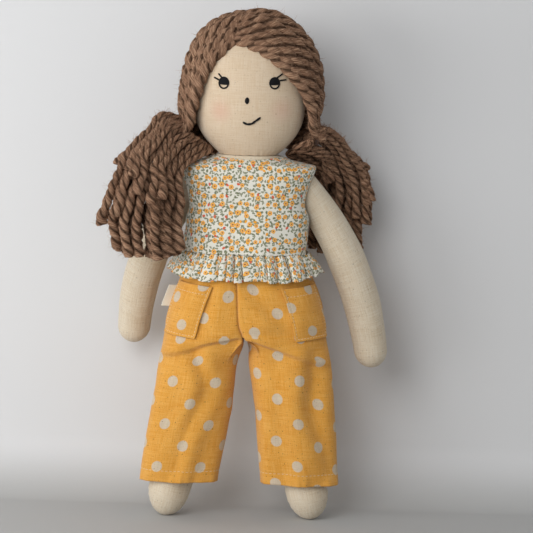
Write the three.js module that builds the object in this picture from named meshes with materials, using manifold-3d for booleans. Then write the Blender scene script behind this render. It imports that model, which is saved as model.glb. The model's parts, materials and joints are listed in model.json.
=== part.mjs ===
// A handmade calico rag doll with yarn pigtails, a sleeveless blouse and dotted trousers.
// Millimetres, +Z up. The doll stands upright and faces -Y, and its own right is at -X.
// The origin is on the floor, under the middle of its bounding box.

import * as THREE from 'three';
import { mergeVertices } from 'three/addons/utils/BufferGeometryUtils.js';
import Module from 'manifold-3d';

const wasm = await Module();
wasm.setup();

// Cloth and clearances
const skinCloth = 1.0;
const garmentCloth = 1.2;
const ruffleCloth = 1.0;
const touchGap = 0.3;
const seatGap = 0.8;
const stuffingGap = 1.0;
const pivotGap = 0.4;

// Hips and shoulders, from which the other heights are counted
const hipZ = 150;
const shoulderZ = 277;

// Torso, from the neck seam down to just above the legs
const neckRise = 25.5;
const neckHeight = shoulderZ + neckRise;
const neckHalfWidth = 26;
const neckHalfDepth = 22.5;
const shoulderHalfWidth = 41;
const shoulderDrop = 17.5;
const chestHalfWidth = 45;
const chestHalfDepth = 30;
const waistHalfWidth = 46.5;
const waistHalfDepth = 31.5;
const waistTop = 222;
const waistBottom = 196;
const torsoSegments = 24;

// Head
const headHeight = 105.5;
const headHalfWidth = 46.8;
const headHalfDepth = 39.5;
const headSegments = 24;

// Arms: a round root at the shoulder, a gentle outward bow and a rounded hand
const shoulderX = 46;
const armRootRadius = 13;
const armRadius = 15.6;
const handRadius = 13.6;
const armLength = 163.5;
const armBow = 12.5;
const armSegments = 14;
const rightArmSplay = 23.5;
const rightArmBack = 6;
const leftArmSplay = 18.8;
const leftArmBack = 22;
const armRaise = 60;

// Legs: a round root at the hip, and a rounded foot cut flat where it stands
const hipX = 27;
const legRadius = 17.9;
const ankleRadius = 16.6;
const footRadius = 17.8;
const footX = 58.5;
const soleDepth = 0.5;
const legSegments = 16;
const torsoBottom = hipZ + legRadius + pivotGap;

// Blouse
const necklineDip = 2.5;
const sleeveTipX = 57.5;
const sleeveTipRise = 14.5;
const sleeveTipZ = shoulderZ + sleeveTipRise;
const blouseSideX = 51;
const blouseSideY = 36.5;
const blouseHem = 217;
const armholeHalfDepth = 16.4;
const armholeDrop = 33;
const armholeBottom = shoulderZ - armholeDrop;
const armholeGap = 1.4;
const backOpening = 0.8;
const blouseSegments = 32;

// Gathered ruffle on the blouse
const ruffleLength = 20.7;
const ruffleBottom = blouseHem - touchGap - ruffleLength;
const ruffleFolds = 20;
const ruffleFoldDepth = 3.2;
const ruffleHalfWidth = 62.3;
const ruffleHalfDepth = 43.5;
const stepsPerFold = 5;

// Button that closes the blouse at the back
const buttonRadius = 4.5;
const buttonThickness = 2;
const buttonDrop = 7;

// Trousers
const waistbandDrop = 9;
const trouserTop = waistTop - waistbandDrop;
const hipSeamRise = 20;
const hipSeam = hipZ + hipSeamRise;
const crotchRise = 1;
const crotchZ = hipZ + crotchRise;
const kneeDrop = 42;
const kneeCut = hipZ - kneeDrop;
const trouserHem = 31;
const trouserHipX = 65.5;
const trouserHipY = 37;
const hemInnerReach = 38.2;
const hemOuterReach = 27.3;
const hemHalfDepth = 23;
const trouserFold = 1.3;
const trouserFoldCount = 5;
const trouserSegments = 28;

// Waist elastic
const elasticHeight = 6;
const elasticThickness = 1.2;
const elasticDrop = 1.5;

// Patch pockets
const pocketDrop = 19;
const pocketHeight = 43;
const pocketTop = trouserTop - pocketDrop;
const pocketBottom = pocketTop - pocketHeight;
const pocketTopAngles = [-2, 62];
const pocketBottomAngles = [12, 70];
const pocketTilt = 3;
const pocketCloth = 1.0;
const pocketLift = 0.8;

// Folded ribbon tag in the side seam
const tagLength = 9.5;
const tagHeight = 18;
const tagThickness = 1.0;
const tagDrop = 19;
const tagTop = trouserTop - tagDrop;
const tagTurn = 38;

// Embroidered face, with heights above the seam between head and neck
const threadLift = 0.5;
const threadDepth = 0.8;
const eyeX = 20.8;
const eyeRise = 57.9;
const eyeHalfWidth = 4.1;
const eyeHalfHeight = 4.5;
const lashWidth = 1.0;
const noseX = -1.7;
const noseRise = 43.4;
const noseHalfWidth = 1.7;
const noseHalfHeight = 2.5;
const mouthWidth = 1.1;
const mouthPoints = [[-4.8, 25.6], [-0.6, 23.7], [4.0, 24.8], [9.4, 29.6]];

// Yarn hair on the head, with heights above the seam between head and neck
const hairOverCrown = 11.7;
const hairHalfWidth = 60;
const hairHalfDepth = 50;
const hairBottomRise = 3.2;
const hairSetBack = 2;
const partingX = -13;
const partingRise = 91.2;
const partingWidth = 3;
const partingTapeThickness = 1.0;
const tapeLift = 1.2;

// Pigtails and their ties
const tieX = 53;
const tieRise = 18.2;
const bunchRadius = 11;
const tieThickness = 3;
const tieFit = 0.5;
const tieSetOff = 0.7;
const pigtailSegments = 24;

const radians = (degrees) => degrees * Math.PI / 180;
const vector = (x, y, z) => new THREE.Vector3(x, y, z);

// Joins rings of points into one closed surface. The rings share one point count. The surface
// either closes on itself like a hose bent into a hoop, or ends in a pole at each end.
function closedSurface(rings, poles) {
  const count = rings[0].length;
  const points = rings.flat();
  const faces = [];
  const spans = poles ? rings.length - 1 : rings.length;
  for (let row = 0; row < spans; row += 1) {
    const next = (row + 1) % rings.length;
    for (let i = 0; i < count; i += 1) {
      const j = (i + 1) % count;
      faces.push(row * count + i, row * count + j, next * count + j);
      faces.push(row * count + i, next * count + j, next * count + i);
    }
  }
  if (poles) {
    const first = points.length;
    points.push(poles[0], poles[1]);
    const last = (rings.length - 1) * count;
    for (let i = 0; i < count; i += 1) {
      const j = (i + 1) % count;
      faces.push(first, j, i);
      faces.push(first + 1, last + i, last + j);
    }
  }
  const geometry = new THREE.BufferGeometry();
  geometry.setAttribute('position', new THREE.BufferAttribute(new Float32Array(
    points.flatMap((p) => [p.x, p.y, p.z])), 3));
  geometry.setIndex(faces);
  return facingOut(geometry);
}

// Turns every face round when the surface's signed volume is negative.
function facingOut(geometry) {
  const place = geometry.attributes.position;
  const index = geometry.index.array;
  const [a, b, c] = [vector(), vector(), vector()];
  let volume = 0;
  for (let k = 0; k < index.length; k += 3) {
    a.fromBufferAttribute(place, index[k]);
    b.fromBufferAttribute(place, index[k + 1]);
    c.fromBufferAttribute(place, index[k + 2]);
    volume += a.dot(b.cross(c));
  }
  if (volume < 0) {
    for (let k = 0; k < index.length; k += 3) {
      [index[k], index[k + 1]] = [index[k + 1], index[k]];
    }
  }
  return geometry;
}

// Unit normals of a grid of rings, pointing away from the middle of each ring.
function ringNormals(rings) {
  const count = rings[0].length;
  return rings.map((ring, row) => {
    const above = rings[Math.max(row - 1, 0)];
    const below = rings[Math.min(row + 1, rings.length - 1)];
    const middle = ring.reduce((sum, p) => sum.add(p), vector(0, 0, 0)).divideScalar(count);
    return ring.map((p, i) => {
      const around = ring[(i + 1) % count].clone().sub(ring[(i + count - 1) % count]);
      const along = below[i].clone().sub(above[i]);
      const normal = around.cross(along).normalize();
      return normal.dot(p.clone().sub(middle)) < 0 ? normal.negate() : normal;
    });
  });
}

// Moves a grid of rings along its normals.
function movedRings(rings, distance) {
  const normals = ringNormals(rings);
  return rings.map((ring, row) => ring.map(
    (p, i) => p.clone().addScaledVector(normals[row][i], distance)));
}

// A sleeve of cloth, open at both ends, with level rims. The rings lie on its outside.
function clothSleeve(rings, thickness) {
  const inside = movedRings(rings, -thickness);
  for (const row of [0, rings.length - 1]) {
    inside[row].forEach((p, i) => { p.z = rings[row][i].z; });
  }
  return closedSurface([...rings, ...inside.reverse()]);
}

// A patch of cloth between two grids of points of one size.
function clothPatch(near, far) {
  const rows = near.length;
  const columns = near[0].length;
  const points = [...near.flat(), ...far.flat()];
  const layer = rows * columns;
  const faces = [];
  const quad = (a, b, c, d) => faces.push(a, b, c, a, c, d);
  for (let row = 0; row < rows - 1; row += 1) {
    for (let column = 0; column < columns - 1; column += 1) {
      const a = row * columns + column;
      quad(a, a + 1, a + columns + 1, a + columns);
      quad(layer + a, layer + a + columns, layer + a + columns + 1, layer + a + 1);
    }
    const start = row * columns;
    const end = start + columns - 1;
    quad(start, start + columns, layer + start + columns, layer + start);
    quad(end, layer + end, layer + end + columns, end + columns);
  }
  for (let column = 0; column < columns - 1; column += 1) {
    const last = (rows - 1) * columns + column;
    quad(column, layer + column, layer + column + 1, column + 1);
    quad(last, last + 1, layer + last + 1, layer + last);
  }
  const geometry = new THREE.BufferGeometry();
  geometry.setAttribute('position', new THREE.BufferAttribute(new Float32Array(
    points.flatMap((p) => [p.x, p.y, p.z])), 3));
  geometry.setIndex(faces);
  return facingOut(geometry);
}

// A ring whose shape runs from an ellipse at power 2 towards a box at high powers.
function roundedRing(centre, halfWidth, halfDepth, power, segments) {
  return Array.from({ length: segments }, (unused, i) => {
    const angle = 2 * Math.PI * i / segments;
    const across = Math.sign(Math.cos(angle)) * Math.abs(Math.cos(angle)) ** (2 / power);
    const deep = Math.sign(Math.sin(angle)) * Math.abs(Math.sin(angle)) ** (2 / power);
    return vector(centre.x + halfWidth * across, centre.y + halfDepth * deep, centre.z);
  });
}

// The same ring with its points spaced evenly along it.
function evenRing(centre, halfWidth, halfDepth, power, segments) {
  const fine = roundedRing(centre, halfWidth, halfDepth, power, 720);
  const reach = [0];
  fine.forEach((p, i) => reach.push(reach[i] + p.distanceTo(fine[(i + 1) % fine.length])));
  const whole = reach[fine.length];
  return Array.from({ length: segments }, (unused, k) => {
    const wanted = whole * k / segments;
    const i = reach.findIndex((length) => length > wanted) - 1;
    const share = (wanted - reach[i]) / (reach[i + 1] - reach[i]);
    return fine[i].clone().lerp(fine[(i + 1) % fine.length], share);
  });
}

// A value read between the stops of a list of [position, value] pairs.
function between(stops, position) {
  const rising = [...stops].sort((p, q) => p[0] - q[0]);
  const last = rising.length - 1;
  if (position <= rising[0][0]) return rising[0][1];
  if (position >= rising[last][0]) return rising[last][1];
  const k = rising.findIndex((stop) => stop[0] >= position);
  const [[p0, v0], [p1, v1]] = [rising[k - 1], rising[k]];
  return v0 + (v1 - v0) * (position - p0) / (p1 - p0);
}

// Booleans
function solidOf(geometry) {
  const bare = geometry.clone();
  bare.deleteAttribute('normal');
  bare.deleteAttribute('uv');
  const merged = mergeVertices(bare, 1e-5);
  return new wasm.Manifold(new wasm.Mesh({
    numProp: 3,
    vertProperties: new Float32Array(merged.attributes.position.array),
    triVerts: new Uint32Array(merged.index.array),
  }));
}

function geometryOf(solid) {
  const mesh = solid.getMesh();
  const geometry = new THREE.BufferGeometry();
  geometry.setAttribute('position', new THREE.BufferAttribute(mesh.vertProperties, 3));
  geometry.setIndex(new THREE.BufferAttribute(mesh.triVerts, 1));
  return geometry;
}

function cut(geometry, ...tools) {
  return geometryOf(tools.reduce((left, tool) => left.subtract(solidOf(tool)), solidOf(geometry)));
}

function kept(geometry, region) {
  return geometryOf(solidOf(geometry).intersect(solidOf(region)));
}

function joined(geometry, ...others) {
  return geometryOf(others.reduce((left, other) => left.add(solidOf(other)), solidOf(geometry)));
}

// A box between two corners.
function boxBetween(low, high) {
  const size = high.clone().sub(low);
  const middle = low.clone().add(high).multiplyScalar(0.5);
  return new THREE.BoxGeometry(size.x, size.y, size.z).translate(middle.x, middle.y, middle.z);
}

const farAway = 600;

// Scene graph
const doll = new THREE.Group();

function addPiece(name, geometry, look, parent = doll) {
  const material = new THREE.MeshStandardMaterial({
    color: look.color, roughness: look.roughness, metalness: 0,
  });
  const mesh = new THREE.Mesh(geometry, material);
  mesh.name = name;
  parent.add(mesh);
  return mesh;
}

const calico = { color: 0xdccab0, roughness: 0.9 };
const fibrefill = { color: 0xf2f1ec, roughness: 0.95 };
const floralCotton = { color: 0xf1e6d2, roughness: 0.88 };
const dottedCotton = { color: 0xe5a436, roughness: 0.9 };
const yarn = { color: 0x8c6b59, roughness: 0.95 };
const blackThread = { color: 0x16161c, roughness: 0.7 };
const elastic = { color: 0xf4f2ee, roughness: 0.8 };
const ribbon = { color: 0xf3ecd9, roughness: 0.75 };
const buttonPlastic = { color: 0xf0e7d6, roughness: 0.4 };

// A stuffed form between a neck or seam end and a rounded end, as rings of given sizes. An inset
// draws the whole form in, so that the same sizes make the cloth's outside, its inside and the
// filling.
function stuffedRings(stations, inset, segments, power) {
  return stations.map((station) => roundedRing(
    vector(0, 0, station.z + (station.inward ?? 0) * inset),
    station.halfWidth - inset, station.halfDepth - inset, power, segments));
}

// Cloth skin, open at its seam end: the outside runs from the opening to the pole, and the
// inside back again.
function openSkin(outside, inside, outerPole, innerPole) {
  return closedSurface([...inside.slice().reverse(), ...outside], [innerPole, outerPole]);
}

// Limbs hang down -Z from a round root at their own origin, and bow sideways by a parabola.
function limbRings(limb, inset, segments, side) {
  const bowAt = (s) => side * 4 * limb.bow * (s / limb.length) * (1 - s / limb.length);
  const slopeAt = (s) => side * 4 * limb.bow * (1 - 2 * s / limb.length) / limb.length;
  const startSlope = slopeAt(0);
  const stations = [];
  for (const angle of limb.rootAngles) {
    const reach = -(limb.rootRadius - inset) * Math.cos(radians(angle));
    stations.push({ s: reach, radius: (limb.rootRadius - inset) * Math.sin(radians(angle)) });
  }
  for (const [share, radius] of limb.swell) {
    stations.push({ s: share * limb.length, radius: radius - inset });
  }
  for (const angle of limb.tipAngles) {
    const base = limb.length - limb.tipRadius;
    const reach = (limb.tipRadius - inset) * Math.sin(radians(angle));
    stations.push({ s: base + reach, radius: (limb.tipRadius - inset) * Math.cos(radians(angle)) });
  }
  const centreAt = (s) => (s < 0 ? vector(s * startSlope, 0, -s) : vector(bowAt(s), 0, -s));
  const rings = stations.map(({ s, radius }) => {
    const slope = s < 0 ? startSlope : slopeAt(s);
    const across = vector(1, 0, slope).normalize();
    const centre = centreAt(s);
    return Array.from({ length: segments }, (unused, i) => {
      const angle = 2 * Math.PI * i / segments;
      return centre.clone().addScaledVector(across, radius * Math.cos(angle))
        .add(vector(0, radius * Math.sin(angle), 0));
    });
  });
  return { rings, tip: centreAt(limb.length - inset), root: centreAt(-(limb.rootRadius - inset)) };
}

function limbPieces(limb, segments, side) {
  const outside = limbRings(limb, 0, segments, side);
  const inside = limbRings(limb, skinCloth, segments, side);
  const filling = limbRings(limb, skinCloth + stuffingGap, segments / 2, side);
  return {
    skin: openSkin(outside.rings, inside.rings, outside.tip, inside.tip),
    stuffing: closedSurface(filling.rings, [filling.root, filling.tip]),
  };
}

// Arms
const arm = {
  length: armLength,
  bow: armBow,
  rootRadius: armRootRadius,
  rootAngles: [28, 60, 90],
  swell: [[0.2, armRadius - 1.2], [0.38, armRadius], [0.58, armRadius], [0.78, armRadius - 0.8]],
  tipRadius: handRadius,
  tipAngles: [0, 28, 55, 76],
};

// How each arm hangs from its shoulder at rest.
const armPoses = {
  left: { side: -1, splay: leftArmSplay, back: leftArmBack },
  right: { side: 1, splay: rightArmSplay, back: rightArmBack },
};

function shoulderGroup({ side, splay, back }) {
  const shoulder = new THREE.Group();
  shoulder.position.set(side * shoulderX, 0, shoulderZ);
  shoulder.rotation.set(radians(back), -side * radians(splay), 0, 'YXZ');
  shoulder.updateMatrix();
  return shoulder;
}

// The space that an arm and its turning root need beside the torso, raised by some degrees.
function armRoom(pose, gap, raised = 0) {
  const { rings, root, tip } = limbRings(arm, -gap, armSegments, pose.side);
  const shoulder = shoulderGroup({ ...pose, splay: pose.splay + raised });
  const hanging = closedSurface(rings, [root, tip]).applyMatrix4(shoulder.matrix);
  const facets = 16;
  const socket = new THREE.SphereGeometry(
    (armRootRadius + gap) / Math.cos(Math.PI / facets), facets, facets / 2)
    .rotateX(Math.PI / 2).translate(pose.side * shoulderX, 0, shoulderZ);
  return joined(hanging, socket);
}

function addArm(name, pose) {
  const pieces = limbPieces(arm, armSegments, pose.side);
  const shoulder = shoulderGroup(pose);
  doll.add(shoulder);
  addPiece(`${name}_skin`, pieces.skin, calico, shoulder);
  addPiece(`${name}_stuffing`, pieces.stuffing, fibrefill, shoulder);
}

// Torso
const torsoPower = 2.3;
const torsoStations = [
  { z: neckHeight, halfWidth: neckHalfWidth, halfDepth: neckHalfDepth },
  { z: neckHeight - 0.45 * shoulderDrop, halfWidth: neckHalfWidth + 5, halfDepth: neckHalfDepth + 2 },
  { z: neckHeight - shoulderDrop, halfWidth: shoulderHalfWidth, halfDepth: neckHalfDepth + 4.5 },
  { z: neckHeight - 1.75 * shoulderDrop, halfWidth: chestHalfWidth, halfDepth: chestHalfDepth },
  { z: neckHeight - 3 * shoulderDrop, halfWidth: chestHalfWidth, halfDepth: chestHalfDepth + 1 },
  { z: waistTop, halfWidth: waistHalfWidth, halfDepth: waistHalfDepth },
  { z: waistBottom, halfWidth: waistHalfWidth, halfDepth: waistHalfDepth },
  { z: torsoBottom + 13, halfWidth: waistHalfWidth - 2.5, halfDepth: waistHalfDepth - 1.5, inward: 0.3 },
  { z: torsoBottom + 5, halfWidth: waistHalfWidth - 8, halfDepth: waistHalfDepth - 6, inward: 0.6 },
  { z: torsoBottom + 0.3, halfWidth: waistHalfWidth - 16, halfDepth: waistHalfDepth - 13, inward: 1 },
];

function torsoPieces() {
  const outside = stuffedRings(torsoStations, 0, torsoSegments, torsoPower);
  const inside = stuffedRings(torsoStations, skinCloth, torsoSegments, torsoPower);
  const skin = openSkin(outside, inside, vector(0, 0, torsoBottom), vector(0, 0, torsoBottom + skinCloth));
  const inset = skinCloth + stuffingGap;
  const filling = stuffedRings(torsoStations, inset, torsoSegments / 2, torsoPower);
  const stuffing = closedSurface(filling, [vector(0, 0, neckHeight), vector(0, 0, torsoBottom + inset)]);
  const rooms = (gap) => Object.values(armPoses).map((pose) => armRoom(pose, gap));
  return {
    skin: cut(skin, ...rooms(pivotGap)),
    stuffing: cut(stuffing, ...rooms(pivotGap + stuffingGap / 2)),
  };
}

const torso = torsoPieces();
addPiece('torso_skin', torso.skin, calico);
addPiece('torso_stuffing', torso.stuffing, fibrefill);

// Head
const headBase = neckHeight + touchGap;
const headTop = headBase + headHeight;
const headPower = 2.15;
const headShape = [
  [0.0, neckHalfWidth, neckHalfDepth],
  [0.05, neckHalfWidth + 7, neckHalfDepth + 4.2],
  [0.145, headHalfWidth * 0.885, headHalfDepth * 0.82],
  [0.26, headHalfWidth * 0.975, headHalfDepth * 0.93],
  [0.385, headHalfWidth, headHalfDepth * 0.985],
  [0.51, headHalfWidth * 0.995, headHalfDepth],
  [0.65, headHalfWidth * 0.96, headHalfDepth * 0.98],
  [0.785, headHalfWidth * 0.85, headHalfDepth * 0.885],
  [0.895, headHalfWidth * 0.655, headHalfDepth * 0.69],
  [0.97, headHalfWidth * 0.37, headHalfDepth * 0.4],
];
const headStations = headShape.map(([share, halfWidth, halfDepth]) => ({
  z: headBase + share * headHeight, halfWidth, halfDepth, inward: -(share ** 3),
}));
const headPole = (inset) => vector(0, 0, headTop - inset);

// The front of the face at a point seen from ahead.
function faceY(x, z) {
  const halfWidth = between(headStations.map((s) => [s.z, s.halfWidth]), z);
  const halfDepth = between(headStations.map((s) => [s.z, s.halfDepth]), z);
  const share = Math.min(Math.abs(x) / halfWidth, 1);
  return -halfDepth * (1 - share ** headPower) ** (1 / headPower);
}

function headPieces() {
  const outside = stuffedRings(headStations, 0, headSegments, headPower);
  const inside = stuffedRings(headStations, skinCloth, headSegments, headPower);
  const inset = skinCloth + stuffingGap;
  const filling = stuffedRings(headStations, inset, headSegments / 2, headPower);
  return {
    skin: openSkin(outside, inside, headPole(0), headPole(skinCloth)),
    stuffing: closedSurface(filling, [vector(0, 0, headBase), headPole(inset)]),
  };
}

const head = headPieces();
addPiece('head_skin', head.skin, calico);
addPiece('head_stuffing', head.stuffing, fibrefill);

addArm('arm_left', armPoses.left);
addArm('arm_right', armPoses.right);

// Legs
const footZ = footRadius - soleDepth;
const legSplay = Math.atan2(footX - hipX, hipZ - footZ);
const legLength = Math.hypot(footX - hipX, hipZ - footZ) + footRadius;
const leg = {
  length: legLength,
  bow: 0,
  rootRadius: legRadius,
  rootAngles: [11, 38, 64, 90],
  swell: [[0.25, legRadius], [0.5, legRadius - 0.6], [0.72, ankleRadius]],
  tipRadius: footRadius,
  tipAngles: [0, 25, 50, 70],
};

function addLeg(name, side) {
  const pieces = limbPieces(leg, legSegments, side);
  const hip = new THREE.Group();
  hip.position.set(side * hipX, 0, hipZ);
  hip.rotation.y = -side * legSplay;
  hip.updateMatrix();
  doll.add(hip);
  const floor = boxBetween(vector(-farAway, -farAway, -farAway), vector(farAway, farAway, 0));
  floor.applyMatrix4(hip.matrix.clone().invert());
  addPiece(`${name}_skin`, cut(pieces.skin, floor), calico, hip);
  addPiece(`${name}_stuffing`, pieces.stuffing, fibrefill, hip);
}

addLeg('leg_left', -1);
addLeg('leg_right', 1);

// Blouse: one sleeve of cloth round the torso, then cut into its front and its two backs
const blouseNeckX = neckHalfWidth + seatGap + garmentCloth;
const blouseNeckY = neckHalfDepth + seatGap + garmentCloth;
const blousePower = 2.8;
const blouseStations = [
  [neckHeight, blouseNeckX, blouseNeckY, 2.2],
  [neckHeight - 4, blouseNeckX + 8.5, blouseNeckY + 2.2, 2.4],
  [sleeveTipZ + 3, sleeveTipX - 6.5, blouseNeckY + 3.8, 2.6],
  [sleeveTipZ, sleeveTipX, blouseNeckY + 5, 2.8],
  [shoulderZ + 4, sleeveTipX - 4.2, blouseSideY - 2, blousePower],
  [shoulderZ - 14, blouseSideX - 1.6, blouseSideY - 0.6, blousePower],
  [shoulderZ - 34, blouseSideX - 0.6, blouseSideY, blousePower],
  [blouseHem, blouseSideX, blouseSideY, blousePower],
];

function blouseRings() {
  return blouseStations.map(([z, halfWidth, halfDepth, power], row) => {
    const ring = roundedRing(vector(0, 0, z), halfWidth, halfDepth, power, blouseSegments);
    if (row < 2) {
      const fade = 1 - row / 2;
      ring.forEach((p) => { p.z -= fade * necklineDip * (1 - (p.x / halfWidth) ** 2); });
    }
    return ring;
  });
}

function blousePieces() {
  const armholeTop = sleeveTipZ - garmentCloth;
  const armholeHalfHeight = (armholeTop - armholeBottom) / 2;
  const armhole = new THREE.CylinderGeometry(1, 1, 2 * farAway, 28).rotateZ(Math.PI / 2)
    .scale(1, armholeHalfDepth, armholeHalfHeight)
    .translate(0, 0, armholeTop - armholeHalfHeight);
  const innerX = chestHalfWidth - 6;
  const middle = boxBetween(vector(-innerX, -farAway, 0), vector(innerX, farAway, farAway));
  const sweep = Object.values(armPoses).flatMap(
    (pose) => [0, armRaise / 2, armRaise].map((raised) => armRoom(pose, armholeGap, raised)));
  const cloth = cut(clothSleeve(blouseRings(), garmentCloth), cut(armhole, middle), ...sweep);
  const half = touchGap / 2;
  const ahead = boxBetween(vector(-farAway, -farAway, 0), vector(farAway, -half, farAway));
  const behindLeft = boxBetween(vector(-farAway, half, 0), vector(-backOpening / 2, farAway, farAway));
  const behindRight = boxBetween(vector(backOpening / 2, half, 0), vector(farAway, farAway, farAway));
  return {
    front: kept(cloth, ahead),
    backLeft: kept(cloth, behindLeft),
    backRight: kept(cloth, behindRight),
  };
}

const blouse = blousePieces();
addPiece('blouse_front', blouse.front, floralCotton);
addPiece('blouse_back_left', blouse.backLeft, floralCotton);
addPiece('blouse_back_right', blouse.backRight, floralCotton);

// Ruffle: gathered folds that deepen towards its free edge
function ruffleRings() {
  const rows = [0, 0.45, 1];
  const count = ruffleFolds * stepsPerFold;
  return rows.map((share) => {
    const z = blouseHem - touchGap - share * (blouseHem - touchGap - ruffleBottom);
    const flare = share ** 0.8;
    const halfWidth = blouseSideX + flare * (ruffleHalfWidth - blouseSideX);
    const halfDepth = blouseSideY + flare * (ruffleHalfDepth - blouseSideY);
    const outline = evenRing(vector(0, 0, z), halfWidth, halfDepth, blousePower, count);
    return outline.map((p, i) => {
      const before = outline[(i + count - 1) % count];
      const after = outline[(i + 1) % count];
      const out = vector(after.y - before.y, before.x - after.x, 0).normalize();
      const fold = flare * ruffleFoldDepth * Math.cos(2 * Math.PI * ruffleFolds * i / count);
      return p.clone().addScaledVector(out, fold);
    });
  });
}

addPiece('blouse_ruffle', clothSleeve(ruffleRings(), ruffleCloth), floralCotton);

// Button at the back neck
const buttonZ = neckHeight - buttonDrop;
const blouseBackAt = (z) => between(blouseStations.map((s) => [s[0], s[2]]), z);
const backSlope = Math.atan2(
  blouseBackAt(buttonZ - buttonRadius) - blouseBackAt(buttonZ + buttonRadius), 2 * buttonRadius);
const button = new THREE.CylinderGeometry(buttonRadius, buttonRadius, buttonThickness, 20)
  .translate(0, seatGap - touchGap + buttonThickness / 2, 0)
  .rotateX(backSlope)
  .translate(0, blouseBackAt(buttonZ), buttonZ);
addPiece('blouse_button', button, buttonPlastic);

// Trousers. Each half is a loop of cloth round one leg. Above the crotch the two loops are one
// rounded outline parted at the middle seam; below it each is an oval tube.
const waistEase = 2 * seatGap + elasticThickness + garmentCloth;
const trouserWaistX = waistHalfWidth + waistEase;
const trouserWaistY = waistHalfDepth + waistEase;
const seamHalfGap = touchGap;
const legXAtHem = hipX + (hipZ - trouserHem) * Math.tan(legSplay);
const outerXStops = [
  [trouserTop, trouserWaistX],
  [trouserTop - 17, trouserHipX - 8.8],
  [trouserTop - 30, trouserHipX - 3.3],
  [hipSeam, trouserHipX],
  [trouserHem, legXAtHem + hemOuterReach],
];
const innerXStops = [
  [crotchZ, seamHalfGap],
  [crotchZ - 50, seamHalfGap + 7.5],
  [trouserHem, legXAtHem - hemInnerReach],
];
const depthStops = [
  [trouserTop, trouserWaistY],
  [trouserTop - 17, trouserHipY - 1],
  [hipSeam, trouserHipY],
  [crotchZ, trouserHipY - 2],
  [crotchZ - 50, hemHalfDepth + 5],
  [trouserHem, hemHalfDepth],
];
const trouserPower = 2.5;

// How far a rounded outline lies from its own centre line along a ray that starts inside it.
function rayToOutline(startX, angle, halfWidth, halfDepth) {
  let near = 0;
  let far = 2 * (halfWidth + halfDepth);
  for (let step = 0; step < 40; step += 1) {
    const reach = (near + far) / 2;
    const x = Math.abs((startX + reach * Math.sin(angle)) / halfWidth);
    const y = Math.abs(reach * Math.cos(angle) / halfDepth);
    if (x ** trouserPower + y ** trouserPower < 1) near = reach;
    else far = reach;
  }
  return near;
}

// A point on the trousers. The angle turns from straight ahead (0) towards the outer side (90).
function trouserPoint(side, angle, z, lift = 0) {
  const outerX = between(outerXStops, z);
  const innerX = between(innerXStops, z);
  const depth = between(depthStops, z);
  const middleX = (outerX + innerX) / 2;
  const halfWidth = (outerX - innerX) / 2;
  const tube = rayToOutline(0, angle, halfWidth, depth);
  const toSeam = Math.sin(angle) < 0 ? (middleX - innerX) / -Math.sin(angle) : farAway;
  const halved = Math.min(rayToOutline(middleX, angle, outerX, depth), toSeam);
  const parted = THREE.MathUtils.smoothstep(crotchZ + 14 - z, 0, 30);
  const fold = trouserFold * THREE.MathUtils.smoothstep(hipSeam - z, 0, 60)
    * Math.cos(trouserFoldCount * angle);
  const reach = halved + (tube - halved) * parted + fold * parted + lift;
  return vector(side * (middleX + reach * Math.sin(angle)), -reach * Math.cos(angle), z);
}

// Loops with a point at each corner of the middle seam, and few points between those two.
function trouserRings(side, heights) {
  const alongSeam = 6;
  const alongCloth = trouserSegments - alongSeam;
  return heights.map((z) => {
    const halfWidth = (between(outerXStops, z) - between(innerXStops, z)) / 2;
    const corner = Math.atan2(halfWidth, between(depthStops, z));
    return Array.from({ length: trouserSegments }, (unused, i) => {
      const angle = i <= alongCloth
        ? -corner + (Math.PI + 2 * corner) * i / alongCloth
        : Math.PI + corner + (Math.PI - 2 * corner) * (i - alongCloth) / alongSeam;
      return trouserPoint(side, angle, z);
    });
  });
}

function evenly(high, low, spans) {
  return Array.from({ length: spans + 1 }, (unused, i) => high + (low - high) * i / spans);
}

// The wall between the two loops is left out above the crotch, where the halves are one space.
function aboveCrotch() {
  const reach = 5;
  const heights = [trouserTop + 1, trouserTop - 8, trouserTop - 17, trouserTop - 30, hipSeam, crotchZ];
  const rings = heights.map((z) => {
    const halfDepth = between(depthStops, z) - garmentCloth;
    return [[-reach, -halfDepth], [reach, -halfDepth], [reach, halfDepth], [-reach, halfDepth]]
      .map(([x, y]) => vector(x, y, z));
  });
  return closedSurface(rings, [vector(0, 0, trouserTop + 1), vector(0, 0, crotchZ)]);
}

for (const [word, side] of [['left', -1], ['right', 1]]) {
  const seat = clothSleeve(trouserRings(side, [trouserTop, trouserTop - 8, trouserTop - 17,
    trouserTop - 30, hipSeam + touchGap / 2]), garmentCloth);
  const hip = clothSleeve(trouserRings(side, evenly(hipSeam - touchGap / 2, kneeCut + touchGap / 2, 4)),
    garmentCloth);
  const shin = clothSleeve(trouserRings(side, evenly(kneeCut - touchGap / 2, trouserHem, 4)),
    garmentCloth);
  addPiece(`trouser_seat_${word}`, cut(seat, aboveCrotch()), dottedCotton);
  addPiece(`trouser_hip_${word}`, cut(hip, aboveCrotch()), dottedCotton);
  addPiece(`trouser_leg_${word}`, shin, dottedCotton);
}

// Elastic in the waist casing, between the torso and the trousers
const elasticTop = trouserTop - elasticDrop;
const elasticRings = [elasticTop, elasticTop - elasticHeight].map((z) => roundedRing(vector(0, 0, z),
  waistHalfWidth + seatGap + elasticThickness, waistHalfDepth + seatGap + elasticThickness,
  torsoPower, 32));
addPiece('waist_elastic', clothSleeve(elasticRings, elasticThickness), elastic);

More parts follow.
